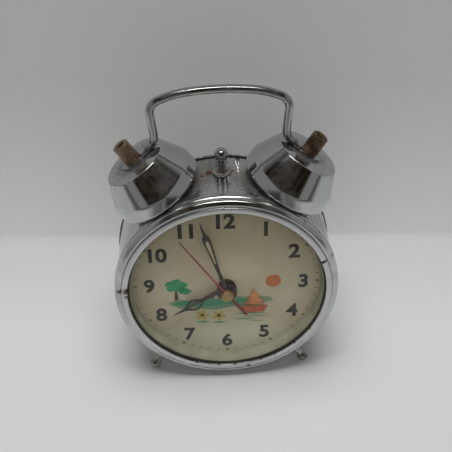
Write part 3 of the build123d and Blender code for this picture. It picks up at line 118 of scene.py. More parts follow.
class Bench:
    """The modelling tools that the sub-assemblies share."""

    merge_m = 0.000002
    sheet_deg = 20.0

    @staticmethod
    def clear() -> None:
        """Leave edit mode and deselect everything."""
        if bpy.context.object and bpy.context.object.mode != "OBJECT":
            bpy.ops.object.mode_set(mode="OBJECT")
        bpy.ops.object.select_all(action="DESELECT")

    @staticmethod
    def choose(*pieces: Piece) -> None:
        """Select pieces and make the first one active."""
        Bench.clear()
        for piece in pieces:
            piece.select_set(True)
        bpy.context.view_layer.objects.active = pieces[0]

    @staticmethod
    def place(piece: Piece, where: Matrix) -> Piece:
        """Move a piece to its place and leave its object at the origin.

        Args:
            piece: the object, modelled at the origin in metres.
            where: its place in space.

        Returns:
            The same object.
        """
        Bench.choose(piece)
        piece.matrix_world = where
        bpy.ops.object.transform_apply(location=True, rotation=True, scale=True)
        return piece

    @staticmethod
    def path(name: str, points: Sequence[Point], closed: bool) -> Piece:
        """Draw a line of edges in the x and z plane and stay in edit mode.

        Args:
            name: the new object's name.
            points: (x, z) points in millimetres.
            closed: whether the last point joins the first.

        Returns:
            The new object, in edit mode with all of it selected.
        """
        Bench.clear()
        bpy.ops.mesh.primitive_plane_add(size=MM, location=(0.0, 0.0, 0.0))
        piece = bpy.context.object
        piece.name = name
        bpy.ops.object.mode_set(mode="EDIT")
        bpy.ops.mesh.select_mode(type="VERT")
        bpy.ops.mesh.merge(type="CENTER")
        bpy.ops.transform.translate(value=(points[0][0] * MM, 0.0, points[0][1] * MM))
        for before, after in zip(points, points[1:]):
            step = ((after[0] - before[0]) * MM, 0.0, (after[1] - before[1]) * MM)
            bpy.ops.mesh.extrude_region_move(TRANSFORM_OT_translate={"value": step})
        if closed:
            mesh = bmesh.from_edit_mesh(piece.data)
            mesh.verts.ensure_lookup_table()
            for vertex in mesh.verts:
                vertex.select_set(len(vertex.link_edges) == 1)
            mesh.select_flush_mode()
            bmesh.update_edit_mesh(piece.data)
            bpy.ops.mesh.edge_face_add()
        bpy.ops.mesh.select_all(action="SELECT")
        return piece

    @staticmethod
    def finish(piece: Piece, smooth_deg: float = 32.0, turn_out: bool = True) -> None:
        """Merge doubles, point the faces outwards, and smooth the piece in object mode.

        Args:
            piece: the object, in edit or object mode.
            smooth_deg: edges sharper than this stay sharp.
            turn_out: whether to recalculate the normals.
        """
        if piece.mode != "EDIT":
            Bench.choose(piece)
            bpy.ops.object.mode_set(mode="EDIT")
        bpy.ops.mesh.select_all(action="SELECT")
        bpy.ops.mesh.remove_doubles(threshold=Bench.merge_m)
        if turn_out:
            bpy.ops.mesh.normals_make_consistent(inside=False)
        bpy.ops.object.mode_set(mode="OBJECT")
        Bench.choose(piece)
        bpy.ops.object.shade_smooth_by_angle(angle=math.radians(smooth_deg))

    @staticmethod
    def lathe(name: str, line: Sequence[Point], where: Matrix, steps: int, gap_deg: float = 0.0) -> Piece:
        """Turn a closed outline about its upright axis.

        Args:
            name: the new object's name.
            line: (radius, height) points in millimetres.
            where: the place of the turned piece, whose axis is z.
            steps: facets around.
            gap_deg: the part of the turn that stays open, next to the x axis.

        Returns:
            The finished object.
        """
        piece = Bench.path(name, line, closed=True)
        turn = math.tau - math.radians(gap_deg)
        bpy.ops.mesh.spin(steps=steps, angle=turn, center=(0, 0, 0), axis=(0, 0, 1))
        if gap_deg:
            bpy.ops.mesh.select_all(action="SELECT")
            bpy.ops.mesh.fill_holes(sides=0)
        Bench.finish(piece)
        return Bench.place(piece, where)

    @staticmethod
    def cutout(name: str, line: Sequence[Point], where: Matrix, thickness: float) -> Piece:
        """Cut a flat shape from thin sheet.

        Args:
            name: the new object's name.
            line: (x, y) corners in millimetres.
            where: the place of the sheet's rear face.
            thickness: the sheet's thickness in millimetres.

        Returns:
            The finished object.
        """
        piece = Bench.path(name, line, closed=True)
        bpy.ops.mesh.edge_face_add()
        bpy.ops.mesh.extrude_region_move(TRANSFORM_OT_translate={"value": (0.0, -thickness * MM, 0.0)})
        Bench.finish(piece, Bench.sheet_deg)
        upright = Matrix.Rotation(math.radians(-90.0), 4, "X")
        return Bench.place(piece, where @ upright)

    @staticmethod
    def join(name: str, pieces: Sequence[Piece]) -> Piece:
        """Join several pieces into one."""
        Bench.choose(*pieces)
        bpy.ops.object.join()
        bpy.context.object.name = name
        return bpy.context.object

    @staticmethod
    def smooth_copy(node: str) -> Piece:
        """Copy a CAD node, merge its triangles and smooth them.

        Args:
            node: the node's name.

        Returns:
            A new object that stands for the node.
        """
        source = frame["nodes"][node]
        Bench.choose(source)
        bpy.ops.object.duplicate()
        piece = bpy.context.object
        piece.name = f"{node}_smooth"
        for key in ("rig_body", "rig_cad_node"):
            if key in piece:
                del piece[key]
        piece.parent = None
        piece.matrix_world = Matrix.Identity(4)
        Bench.finish(piece, turn_out=False)
        return piece


def through(a: Point, b: Point, c: Point, count: int) -> list[Point]:
    """Points along the arc through three points.

    Args:
        a: the arc's start.
        b: a point on it.
        c: its end.
        count: the number of steps.

    Returns:
        The points from a to c.
    """
    d = 2 * (a[0] * (b[1] - c[1]) + b[0] * (c[1] - a[1]) + c[0] * (a[1] - b[1]))
    sa, sb, sc = (p[0] ** 2 + p[1] ** 2 for p in (a, b, c))
    x = (sa * (b[1] - c[1]) + sb * (c[1] - a[1]) + sc * (a[1] - b[1])) / d
    y = (sa * (c[0] - b[0]) + sb * (a[0] - c[0]) + sc * (b[0] - a[0])) / d
    radius = math.hypot(a[0] - x, a[1] - y)
    start = math.atan2(a[1] - y, a[0] - x)
    sweep = math.atan2(c[1] - y, c[0] - x) - start
    middle = math.atan2(b[1] - y, b[0] - x) - start
    sweep = (sweep + math.tau) % math.tau
    if (middle + math.tau) % math.tau > sweep:
        sweep -= math.tau
    return [
        (x + radius * math.cos(start + sweep * i / count), y + radius * math.sin(start + sweep * i / count))
        for i in range(count + 1)
    ]


def outline(*steps: Point | tuple[Point, Point, int]) -> list[Point]:
    """Points along straight lines and arcs.

    Args:
        *steps: the next corner, or a point on an arc, the arc's end and the number of its steps.

    Returns:
        The points, from the first corner on.
    """
    points: list[Point] = []
    last = steps[0]
    for step in steps:
        if len(step) == 2:
            points.append(step)
            last = step
        else:
            middle, end, count = step
            points += through(last, middle, end, count)[1:]
            last = end
    return points


def lens(start: Point, above: Point, end: Point, below: Point, count: int) -> list[Point]:
    """The corners of a shape between two arcs that share their ends."""
    return outline(start, (above, end, count), (below, start, count))[:-1]


def oval(
    middle: Point, reach: Point, count: int, wave: Callable[[float], float] = lambda a: 1.0
) -> list[Point]:
    """The corners of a round shape.

    Args:
        middle: its middle.
        reach: half its width and half its height.
        count: the number of corners.
        wave: what its reach is multiplied by at each angle.

    Returns:
        The corners.
    """
    angles = [math.tau * i / count for i in range(count)]
    return [
        (middle[0] + reach[0] * wave(a) * math.cos(a), middle[1] + reach[1] * wave(a) * math.sin(a))
        for a in angles
    ]


class Tree:
    """A node tree that is filled in a line per node."""

    def __init__(self, tree: bpy.types.NodeTree) -> None:
        """Keep the tree to fill."""
        self.tree = tree

    def feed(self, socket: Socket, value: object) -> None:
        """Link a socket to its source, or set its value.

        Args:
            socket: the socket to feed.
            value: a source socket, a number, a vector, or a colour of three numbers.
        """
        if isinstance(value, Socket):
            self.tree.links.new(value, socket)
        elif socket.type == "RGBA":
            socket.default_value = (*value, 1.0)
        else:
            socket.default_value = value

    def set(self, node: bpy.types.Node, **inputs: object) -> None:
        """Feed inputs of a node, named with _ for a space."""
        for key, value in inputs.items():
            self.feed(node.inputs[key.replace("_", " ")], value)

    def add(self, kind: str, setup: dict | None = None, **inputs: object) -> bpy.types.Node:
        """Add a node.

        Args:
            kind: the node's type, without its ShaderNode prefix.
            setup: the node's own settings.
            **inputs: what feeds its inputs.

        Returns:
            The new node.
        """
        node = self.tree.nodes.new("ShaderNode" + kind)
        for key, value in (setup or {}).items():
            setattr(node, key, value)
        self.set(node, **inputs)
        return node

    def chain(self, kind: str, setup: dict, *values: object) -> bpy.types.Node:
        """Add a node whose first inputs are fed in their order."""
        node = self.add(kind, setup)
        for socket, value in zip(node.inputs, values):
            self.feed(socket, value)
        return node

    def math(self, kind: str, a: object, b: object = 0.0) -> Socket:
        """A step on two values."""
        return self.chain("Math", {"operation": kind}, a, b).outputs[0]

    def times(self, a: object, b: object) -> Socket:
        """The product of two values."""
        return self.math("MULTIPLY", a, b)

    def plus(self, a: object, b: object) -> Socket:
        """The sum of two values."""
        return self.math("ADD", a, b)

    def minus(self, a: object, b: object) -> Socket:
        """The difference of two values."""
        return self.math("SUBTRACT", a, b)

    def split(self, vector: Socket) -> bpy.types.NodeOutputs:
        """The three parts of a vector, under the names X, Y and Z."""
        return self.add("SeparateXYZ", Vector=vector).outputs

    def band(self, value: Socket, low: float, high: float) -> Socket:
        """Map a value so that low gives 0 and high gives 1."""
        node = self.add("MapRange", {"clamp": True}, Value=value, From_Min=low, From_Max=high)
        return node.outputs["Result"]

    def noise(self, vector: Socket, scale: object, detail: float = 4.0, rough: float = 0.5) -> Socket:
        """A noise value over the surface."""
        return self.add("TexNoise", Vector=vector, Scale=scale, Detail=detail, Roughness=rough).outputs[0]

    def clouds(
        self, vector: Socket, scale: object, low: float, high: float, detail: float = 4.0, rough: float = 0.5
    ) -> Socket:
        """A mask of the places where a noise rises from low to high."""
        return self.band(self.noise(vector, scale, detail, rough), low, high)

    def blend(self, share: object, first: object, second: object) -> Socket:
        """Mix two colours."""
        node = self.add("Mix", {"data_type": "RGBA"})
        for number, value in ((0, share), (6, first), (7, second)):
            self.feed(node.inputs[number], value)
        return node.outputs[2]

    def relief(self, shader: bpy.types.Node, height: Socket, strength: float, depth: float = 0.0002) -> None:
        """Give a shader a bump, whose depth is in metres."""
        bump = self.add("Bump", Strength=strength, Distance=depth, Height=height)
        self.set(shader, Normal=bump.outputs[0])


class Groups:
    """Shader node groups that more than one finish uses, each made once."""

    @staticmethod
    def start(name: str, output: str, **inputs: float | None) -> tuple[Tree, bpy.types.NodeOutputs, Socket]:
        """Begin a group that gives one value.

        Args:
            name: the group's name.
            output: the name of the value.
            **inputs: the default of each number that it takes, and None for a vector.

        Returns:
            Its tree, the sockets that bring its inputs, and the socket of its value.
        """
        group = bpy.data.node_groups.new(name, "ShaderNodeTree")
        for label, default in inputs.items():
            kind = "NodeSocketVector" if default is None else "NodeSocketFloat"
            socket = group.interface.new_socket(label, in_out="INPUT", socket_type=kind)
            if default is not None:
                socket.default_value = default
        group.interface.new_socket(output, in_out="OUTPUT", socket_type="NodeSocketFloat")
        given = group.nodes.new("NodeGroupInput").outputs
        return Tree(group), given, group.nodes.new("NodeGroupOutput").inputs[output]

    @staticmethod
    @cache
    def grime() -> bpy.types.NodeTree:
        """Uneven dirt: broad clouds with fine specks in them."""
        tree, given, mask = Groups.start("grime", "Mask", Vector=None, Scale=60.0, Amount=0.5)
        clouds = tree.clouds(given["Vector"], given["Scale"], 0.45, 0.72, 5.0, 0.62)
        specks = tree.clouds(given["Vector"], tree.times(given["Scale"], 9.0), 0.52, 0.68, 3.0, 0.7)
        both = tree.times(tree.math("MULTIPLY_ADD", specks, 0.6), clouds)
        total = tree.plus(both, tree.times(clouds, 0.45))
        tree.feed(mask, tree.times(total, given["Amount"]))
        return tree.tree

    @staticmethod
    @cache
    def scuffs() -> bpy.types.NodeTree:
        """Fine rubbing marks that change how sharp a reflection is."""
        defaults = {"Vector": None, "Scale": 300.0, "Base": 0.1, "Spread": 0.1}
        tree, given, roughness = Groups.start("scuffs", "Roughness", **defaults)
        rubbed = tree.clouds(given["Vector"], given["Scale"], 0.35, 0.75, 6.0, 0.75)
        tree.feed(roughness, tree.plus(tree.times(rubbed, given["Spread"]), given["Base"]))
        return tree.tree

    @staticmethod
    @cache
    def spot() -> bpy.types.NodeTree:
        """A ragged patch around a place, such as rust."""
        tree, given, mask = Groups.start("spot", "Mask", Vector=None, Centre=None, Radius=0.004)
        gap = tree.chain("VectorMath", {"operation": "DISTANCE"}, given["Vector"], given["Centre"])
        near = tree.math("DIVIDE", gap.outputs["Value"], given["Radius"])
        ragged = tree.minus(tree.noise(given["Vector"], 900.0, 4.0, 0.7), 0.5)
        tree.feed(mask, tree.band(tree.plus(near, tree.times(ragged, 2.6)), 1.0, 0.45))
        return tree.tree


class Finish:
    """A procedural material; each kind of finish adds its own nodes."""

    name: str

    def make(self) -> bpy.types.Material:
        """Build the material on the clock's own coordinates."""
        material = bpy.data.materials.new(self.name)
        material.use_nodes = True
        tree = Tree(material.node_tree)
        location, rotation = STANCE.mapping()
        where = tree.add("TexCoord").outputs["Object"]
        place = tree.add("Mapping", Vector=where, Location=location, Rotation=rotation).outputs["Vector"]
        self.fill(tree, material.node_tree.nodes["Principled BSDF"], place)
        return material

    def fill(self, tree: Tree, shader: bpy.types.Node, place: Socket) -> None:
        """Add the finish's own nodes between the clock's coordinates and the shader."""
        raise NotImplementedError


@dataclass(frozen=True)
class Metal(Finish):
    """Bare or plated metal with dirt, rubbing marks and, if asked, film and rust.

    Film and rust are given as patches: the middle and the radius of each, in millimetres. The film's dark
    patches are partly painted dark reflection.
    """

    name: str
    colour: Colour
    dirt: Colour = (0.10, 0.075, 0.045)
    dirt_amount: float = 0.35
    dirt_scale: float = 70.0
    rough: float = 0.12
    rough_spread: float = 0.14
    rust: tuple[Spot, ...] = ()
    rust_tones: tuple[Colour, Colour] = ((0.02, 0.009, 0.004), (0.085, 0.038, 0.014))
    film: tuple[Spot, ...] = ()
    film_colour: Colour = (0.085, 0.078, 0.058)
    film_share: float = 0.75
    scuff_scale: float = 420.0
    bump: float = 0.02
    bump_depth: float = 0.0004
    dirt_rough: float = 0.4
    dirt_dull: float = 0.55
    film_rough: float = 0.22
    film_dull: float = 0.5
    rust_rough: float = 0.6
    rust_height: float = 2.0

    @staticmethod
    def patches(tree: Tree, place: Socket, spots: Sequence[Spot]) -> Socket | None:
        """One mask for several ragged patches.

        Args:
            tree: the material's tree.
            place: the clock's own coordinates.
            spots: the patches.

        Returns:
            The mask's socket, or None without patches.
        """
        mask = None
        for x, y, z, radius in spots:
            middle = (x * MM, y * MM, z * MM)
            group = {"node_tree": Groups.spot()}
            spot = tree.add("Group", group, Vector=place, Centre=middle, Radius=radius * MM)
            found = spot.outputs["Mask"]
            mask = found if mask is None else tree.math("MAXIMUM", mask, found)
        return mask

    def fill(self, tree: Tree, shader: bpy.types.Node, place: Socket) -> None:
        """Add dirt and rubbing marks, then film that is partly painted dark reflection, then rust."""
        grime, scuffs = {"node_tree": Groups.grime()}, {"node_tree": Groups.scuffs()}
        dirty = tree.add("Group", grime, Vector=place, Scale=self.dirt_scale, Amount=self.dirt_amount)
        rubbed = tree.add(
            "Group", scuffs, Vector=place, Scale=self.scuff_scale, Base=self.rough, Spread=self.rough_spread
        )
        mask = dirty.outputs["Mask"]
        colour = tree.blend(mask, self.colour, self.dirt)
        rough = tree.plus(rubbed.outputs["Roughness"], tree.times(mask, self.dirt_rough))
        metallic = tree.minus(1.0, tree.times(mask, self.dirt_dull))
        height = tree.noise(place, 700.0, 3.0)
        # Film: a dull dark patch, partly real film and partly painted dark reflection on chrome.
        film = self.patches(tree, place, self.film)
        if film is not None:
            film = tree.times(film, self.film_share)
            colour = tree.blend(film, colour, self.film_colour)
            rough = tree.plus(rough, tree.times(film, self.film_rough))
            metallic = tree.times(metallic, tree.minus(1.0, tree.times(film, self.film_dull)))
        rust = self.patches(tree, place, self.rust)
        if rust is not None:
            colour = tree.blend(rust, colour, tree.blend(tree.noise(place, 1300.0, 3.0), *self.rust_tones))
            rough = tree.plus(rough, tree.times(rust, self.rust_rough))
            metallic = tree.times(metallic, tree.minus(1.0, rust))
            height = tree.plus(height, tree.times(rust, self.rust_height))
        tree.set(shader, Base_Color=colour, Roughness=rough, Metallic=metallic)
        tree.relief(shader, height, self.bump, self.bump_depth)


@dataclass(frozen=True)
class Paint(Finish):
    """Paint, print or plastic: a colour with soft blotches, specks and a fine surface."""

    name: str
    colour: Colour
    shade: Colour
    rough: float = 0.45
    blotch_scale: float = 90.0
    rough_spread: float = 0.16
    speck: float = 0.0
    speck_colour: Colour = (0.03, 0.025, 0.02)
    coat: float = 0.0
    coat_rough: float = 0.12

    def fill(self, tree: Tree, shader: bpy.types.Node, place: Socket) -> None:
        """Add the blotches, the specks and the coat."""
        blotch = tree.clouds(place, self.blotch_scale, 0.38, 0.68, 5.0, 0.6)
        colour = tree.blend(blotch, self.colour, self.shade)
        if self.speck:
            specks = tree.clouds(place, 1500.0, 0.70, 0.76, 2.0, 0.4)
            colour = tree.blend(tree.times(specks, self.speck), colour, self.speck_colour)
        spread = tree.times(tree.noise(place, 500.0), self.rough_spread)
        rough = tree.plus(spread, self.rough - self.rough_spread / 2)
        tree.set(shader, Base_Color=colour, Roughness=rough)
        tree.set(shader, Coat_Weight=self.coat, Coat_Roughness=self.coat_rough)
        tree.relief(shader, tree.noise(place, 2200.0, 2.0), 0.04)


@dataclass(frozen=True)
class DialFace(Finish):
    """The dial's cream lacquer, browner towards its edge, with painted shade darkening its top and painted
    light paling its bottom.
    """

    name: str = "dial_lacquer"
    colour: Colour = (0.385, 0.35, 0.255)
    stain: Colour = (0.24, 0.205, 0.13)
    aged: Colour = (0.235, 0.19, 0.11)
    pale: Colour = (0.50, 0.51, 0.40)
    edge: Colour = (0.20, 0.17, 0.10)
    speck: Colour = (0.06, 0.04, 0.02)

    def fill(self, tree: Tree, shader: bpy.types.Node, place: Socket) -> None:
        """Lay one tone over the other."""
        flat = tree.chain("VectorMath", {"operation": "MULTIPLY"}, place, (1.0, 1.0, 0.0))
        length = tree.chain("VectorMath", {"operation": "LENGTH"}, flat.outputs[0])
        radius = tree.plus(length.outputs["Value"], tree.times(tree.noise(place, 120.0), 0.006))
        clouds = tree.clouds(place, 55.0, 0.40, 0.70, 5.0, 0.6)
        height = tree.split(place)["Y"]
        tone = self.colour
        for share, colour in (
            (tree.times(clouds, 0.28), self.stain),
            # Darker towards the top is painted shade; paler at the bottom is painted light.
            (tree.times(tree.band(height, -0.01, 0.048), 0.55), self.aged),
            (tree.band(height, -0.024, -0.046), self.pale),
            (tree.times(tree.band(radius, 0.036, 0.052), 0.45), self.edge),
            (tree.times(tree.clouds(place, 1700.0, 0.74, 0.80, 2.0, 0.4), 0.5), self.speck),
        ):
            tone = tree.blend(share, tone, colour)
        tree.set(shader, Base_Color=tone, Roughness=tree.plus(tree.times(clouds, 0.12), 0.38))
        tree.relief(shader, tree.noise(place, 1500.0, 2.0), 0.03)


@dataclass(frozen=True)
class ClearGlass(Finish):
    """Clear glass with a faint film; light passes it to the dial."""

    name: str = "clear_glass"
    colour: Colour = (0.97, 0.965, 0.94)
    passing: Colour = (0.94, 0.935, 0.91)
    ior: float = 1.22

    def fill(self, tree: Tree, shader: bpy.types.Node, place: Socket) -> None:
        """Add the film, and let shadow rays through."""
        tree.set(shader, Base_Color=self.colour, Transmission_Weight=1.0, IOR=self.ior)
        film = tree.times(tree.clouds(place, 120.0, 0.5, 0.75, 5.0), 0.012)
        tree.set(shader, Roughness=film)
        tree.relief(shader, tree.noise(place, 900.0, 2.0), 0.01, 0.0001)
        ray = tree.add("LightPath").outputs["Is Shadow Ray"]
        clear = tree.add("BsdfTransparent", Color=self.passing).outputs[0]
        mix = tree.chain("MixShader", {}, ray, shader.outputs[0], clear)
        tree.set(tree.tree.nodes["Material Output"], Surface=mix.outputs[0])


@dataclass(frozen=True)
class BoatPaint(Finish):
    """The little boat: an orange-red hull under pale sails."""

    name: str = "boat_print"
    waterline: tuple[float, float] = (-14.75, -14.55)
    hull: tuple[Colour, Colour] = ((0.40, 0.085, 0.03), (0.21, 0.045, 0.02))
    cloth: tuple[Colour, Colour] = ((0.50, 0.20, 0.06), (0.33, 0.12, 0.04))
    seam: Colour = (0.16, 0.07, 0.03)

    def fill(self, tree: Tree, shader: bpy.types.Node, place: Socket) -> None:
        """Add the hull, and the sails with their seams."""
        height = tree.plus(tree.split(place)["Y"], tree.times(tree.noise(place, 500.0), 0.0003))
        sails = tree.band(height, *(edge * MM for edge in self.waterline))
        hull = tree.blend(tree.clouds(place, 420.0, 0.35, 0.65, 5.0, 0.65), *self.hull)
        cloth = tree.blend(tree.clouds(place, 300.0, 0.35, 0.7), *self.cloth)
        wave = tree.add("TexWave", {"bands_direction": "Y"}, Vector=place, Scale=90.0, Distortion=0.4)
        seams = tree.times(tree.band(wave.outputs[1], 0.8, 1.0), 0.4)
        colour = tree.blend(sails, hull, tree.blend(seams, cloth, self.seam))
        rough = tree.plus(tree.times(tree.noise(place, 600.0), 0.2), 0.4)
        tree.set(shader, Base_Color=colour, Roughness=rough)
        tree.relief(shader, tree.noise(place, 2200.0, 2.0), 0.04)


class Shade(Enum):
    """The finishes of this clock."""

    CASE_CHROME = Metal(
        "case_chrome", (0.52, 0.52, 0.525), rough=0.10, rough_spread=0.12, dirt_amount=0.4,
        rust=(
            (-6.4, 54.0, -18.4, 2.6), (-9.5, 53.6, -16.6, 1.3), (4.9, 54.2, -19.5, 1.3),
            (-16.0, 52.0, -14.0, 1.2),
        ),
        # The film on the case top is partly a dull film and partly painted dark reflection of the room.
        film=((-6.0, 54.0, -20.0, 17.0), (12.0, 53.0, -12.0, 14.0)),
    )
    BEZEL_CHROME = Metal(
        "bezel_chrome", (0.52, 0.52, 0.52), rough=0.07, rough_spread=0.12, dirt_amount=0.28,
        rust=(
            (-20.0, 50.6, 5.0, 1.5), (51.0, 19.6, 6.0, 1.3), (-52.4, 4.6, 7.8, 1.9), (37.0, 40.0, 5.5, 1.8),
            (43.0, 33.0, 5.5, 1.4), (12.0, -53.6, 6.0, 1.2), (-36.0, 40.0, 6.0, 0.9),
        ),
    )
    BELL_CHROME = Metal(
        "bell_chrome", (0.485, 0.49, 0.495), rough=0.06, rough_spread=0.08, dirt_amount=0.16, dirt_scale=60.0,
        # The near-black film over each bell's top is partly dirt and partly painted dark reflection.
        film=((-41.4, 63.8, -17.6, 14.0), (41.4, 63.8, -17.6, 12.0)), film_colour=(0.030, 0.023, 0.014),
    )
    RING = Metal(
        "ring_metal", (0.56, 0.56, 0.56), rough=0.26, rough_spread=0.08, dirt_amount=0.08, bump=0.0,
        rust=(
            (46.8, 17.2, 8.3, 1.3), (10.0, -50.2, 8.3, 1.4), (-49.4, 5.0, 8.0, 2.3), (-49.6, 1.4, 8.0, 1.2),
            (41.5, -26.0, 8.0, 1.0), (33.8, -35.4, 8.0, 0.9), (24.0, -42.7, 8.0, 1.1),
            (16.5, -46.2, 8.0, 0.9), (3.0, -49.0, 8.0, 1.0), (-5.5, -48.8, 8.0, 0.8),
            (-17.0, -46.0, 8.0, 0.9),
        ),
    )
    FOOT = Metal(
        "foot_chrome", (0.36, 0.35, 0.33), (0.055, 0.036, 0.022), 1.3, dirt_scale=230.0, rough=0.24
    )
    WIRE = Metal("wire_chrome", (0.40, 0.40, 0.40), rough=0.08, rough_spread=0.10, dirt_amount=0.35)
    BRASS_NUT = Metal(
        "worn_brass_nut", (0.34, 0.25, 0.17), (0.03, 0.017, 0.009), 1.5, dirt_scale=150.0, rough=0.38,
        film=((45.7, 70.4, -17.6, 10.0),), film_colour=(0.03, 0.017, 0.006),
    )
    PLATE_BRASS = Metal("rolled_brass", (0.58, 0.42, 0.18), rough=0.28, dirt_amount=0.25)
    BUSH_BRASS = Metal("turned_brass", (0.36, 0.26, 0.12), rough=0.36, dirt_amount=0.5)
    DARK_STEEL = Metal("oiled_steel", (0.16, 0.15, 0.14), rough=0.32, dirt_amount=0.5)
    BLUED = Metal("spring_blue", (0.10, 0.13, 0.22), rough=0.25, dirt_amount=0.2)
    COVER_STEEL = Metal("cover_steel", (0.42, 0.42, 0.43), rough=0.3, rough_spread=0.2, dirt_amount=0.5)
    RUSTY = Metal(
        "ferrule_chrome", (0.42, 0.40, 0.37), (0.11, 0.055, 0.025), 0.8, dirt_scale=260.0, rough=0.22
    )
    BLACK_HAND = Paint("hand_black", (0.010, 0.010, 0.010), (0.02, 0.018, 0.016), rough=0.4)
    RED_HAND = Paint("hand_red", (0.165, 0.028, 0.02), (0.11, 0.02, 0.015), rough=0.5)
    BROWN_HAND = Paint("hand_brown", (0.085, 0.022, 0.014), (0.05, 0.016, 0.01), rough=0.45)
    INK = Paint("dial_ink", (0.006, 0.006, 0.005), (0.016, 0.015, 0.012), 0.5, 400.0)
    # A near-black line at the rear rim: dirt and a painted shadow line.
    DIRT = Paint("seam_dirt_and_shadow", (0.005, 0.004, 0.003), (0.016, 0.011, 0.007), 0.8, 900.0)
    # A dark band on the glass's lower edge: dirt and painted shade of the cone.
    GLASS_DIRT = Paint("glass_dirt_and_shade", (0.016, 0.012, 0.006), (0.055, 0.044, 0.024), 0.7, 420.0)
    DOT_GREEN = Paint("dot_green", (0.07, 0.12, 0.06), (0.11, 0.14, 0.08), 0.6, 600.0)
    GREEN = Paint("print_green", (0.010, 0.19, 0.08), (0.035, 0.22, 0.11), 0.5, 260.0)
    PALE_GREEN = Paint("print_pale_green", (0.10, 0.20, 0.12), (0.17, 0.21, 0.135), 0.5, 160.0)
    YELLOW = Paint("print_yellow", (0.30, 0.27, 0.05), (0.34, 0.26, 0.06), 0.5, 500.0)
    SUN = Paint("print_orange", (0.38, 0.115, 0.025), (0.28, 0.07, 0.02), 0.5, 500.0)
    CREAM = Paint("lume_cream", (0.33, 0.30, 0.21), (0.26, 0.22, 0.14), 0.7, 500.0)
    CONE = Paint("cone_cream", (0.28, 0.285, 0.215), (0.20, 0.19, 0.13), rough=0.55, speck=0.3)
    BLACK_KNOB = Paint("knob_black", (0.012, 0.012, 0.013), (0.02, 0.02, 0.02), rough=0.3, coat=0.3)
    DIAL = DialFace()
    GLASS = ClearGlass()
    BOAT = BoatPaint()

    def material(self) -> bpy.types.Material:
        """The finish's material, made the first time it is asked for."""
        found = bpy.data.materials.get(self.value.name)
        return found or self.value.make()

    def put(self, piece: Piece) -> None:
        """Give a piece this finish all over."""
        piece.data.materials.clear()
        piece.data.materials.append(self.material())


class Assembly:
    """A sub-assembly: it models its pieces and reports them."""

    def add(self, piece: Piece, shade: Shade, slot: str, *nodes: str, body: str = "frame") -> None:
        """Finish a piece and fix it to its body.

        Args:
            piece: the modelled object.
            shade: its finish.
            slot: the record's material slot; not used.
            *nodes: CAD nodes that it stands for.
            body: the CAD body that carries it.
        """
        shade.put(piece)
        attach(piece, body)
        if nodes:
            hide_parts(*nodes)
        LOG.info("%s on %s, %d faces", piece.name, body, len(piece.data.polygons))

    def smooth(self, node: str, shade: Shade, slot: str, body: str = "frame") -> None:
        """Stand a smoothed copy in for a CAD node."""
        self.add(Bench.smooth_copy(node), shade, slot, node, body=body)

    def dress(self, shade: Shade, *nodes: str) -> None:
        """Give CAD nodes their finish."""
        for node in nodes:
            shade.put(frame["nodes"][node])
            LOG.info("%s finished in %s", node, shade.value.name)

    def build(self) -> None:
        """Model and dress the sub-assembly."""
        raise NotImplementedError


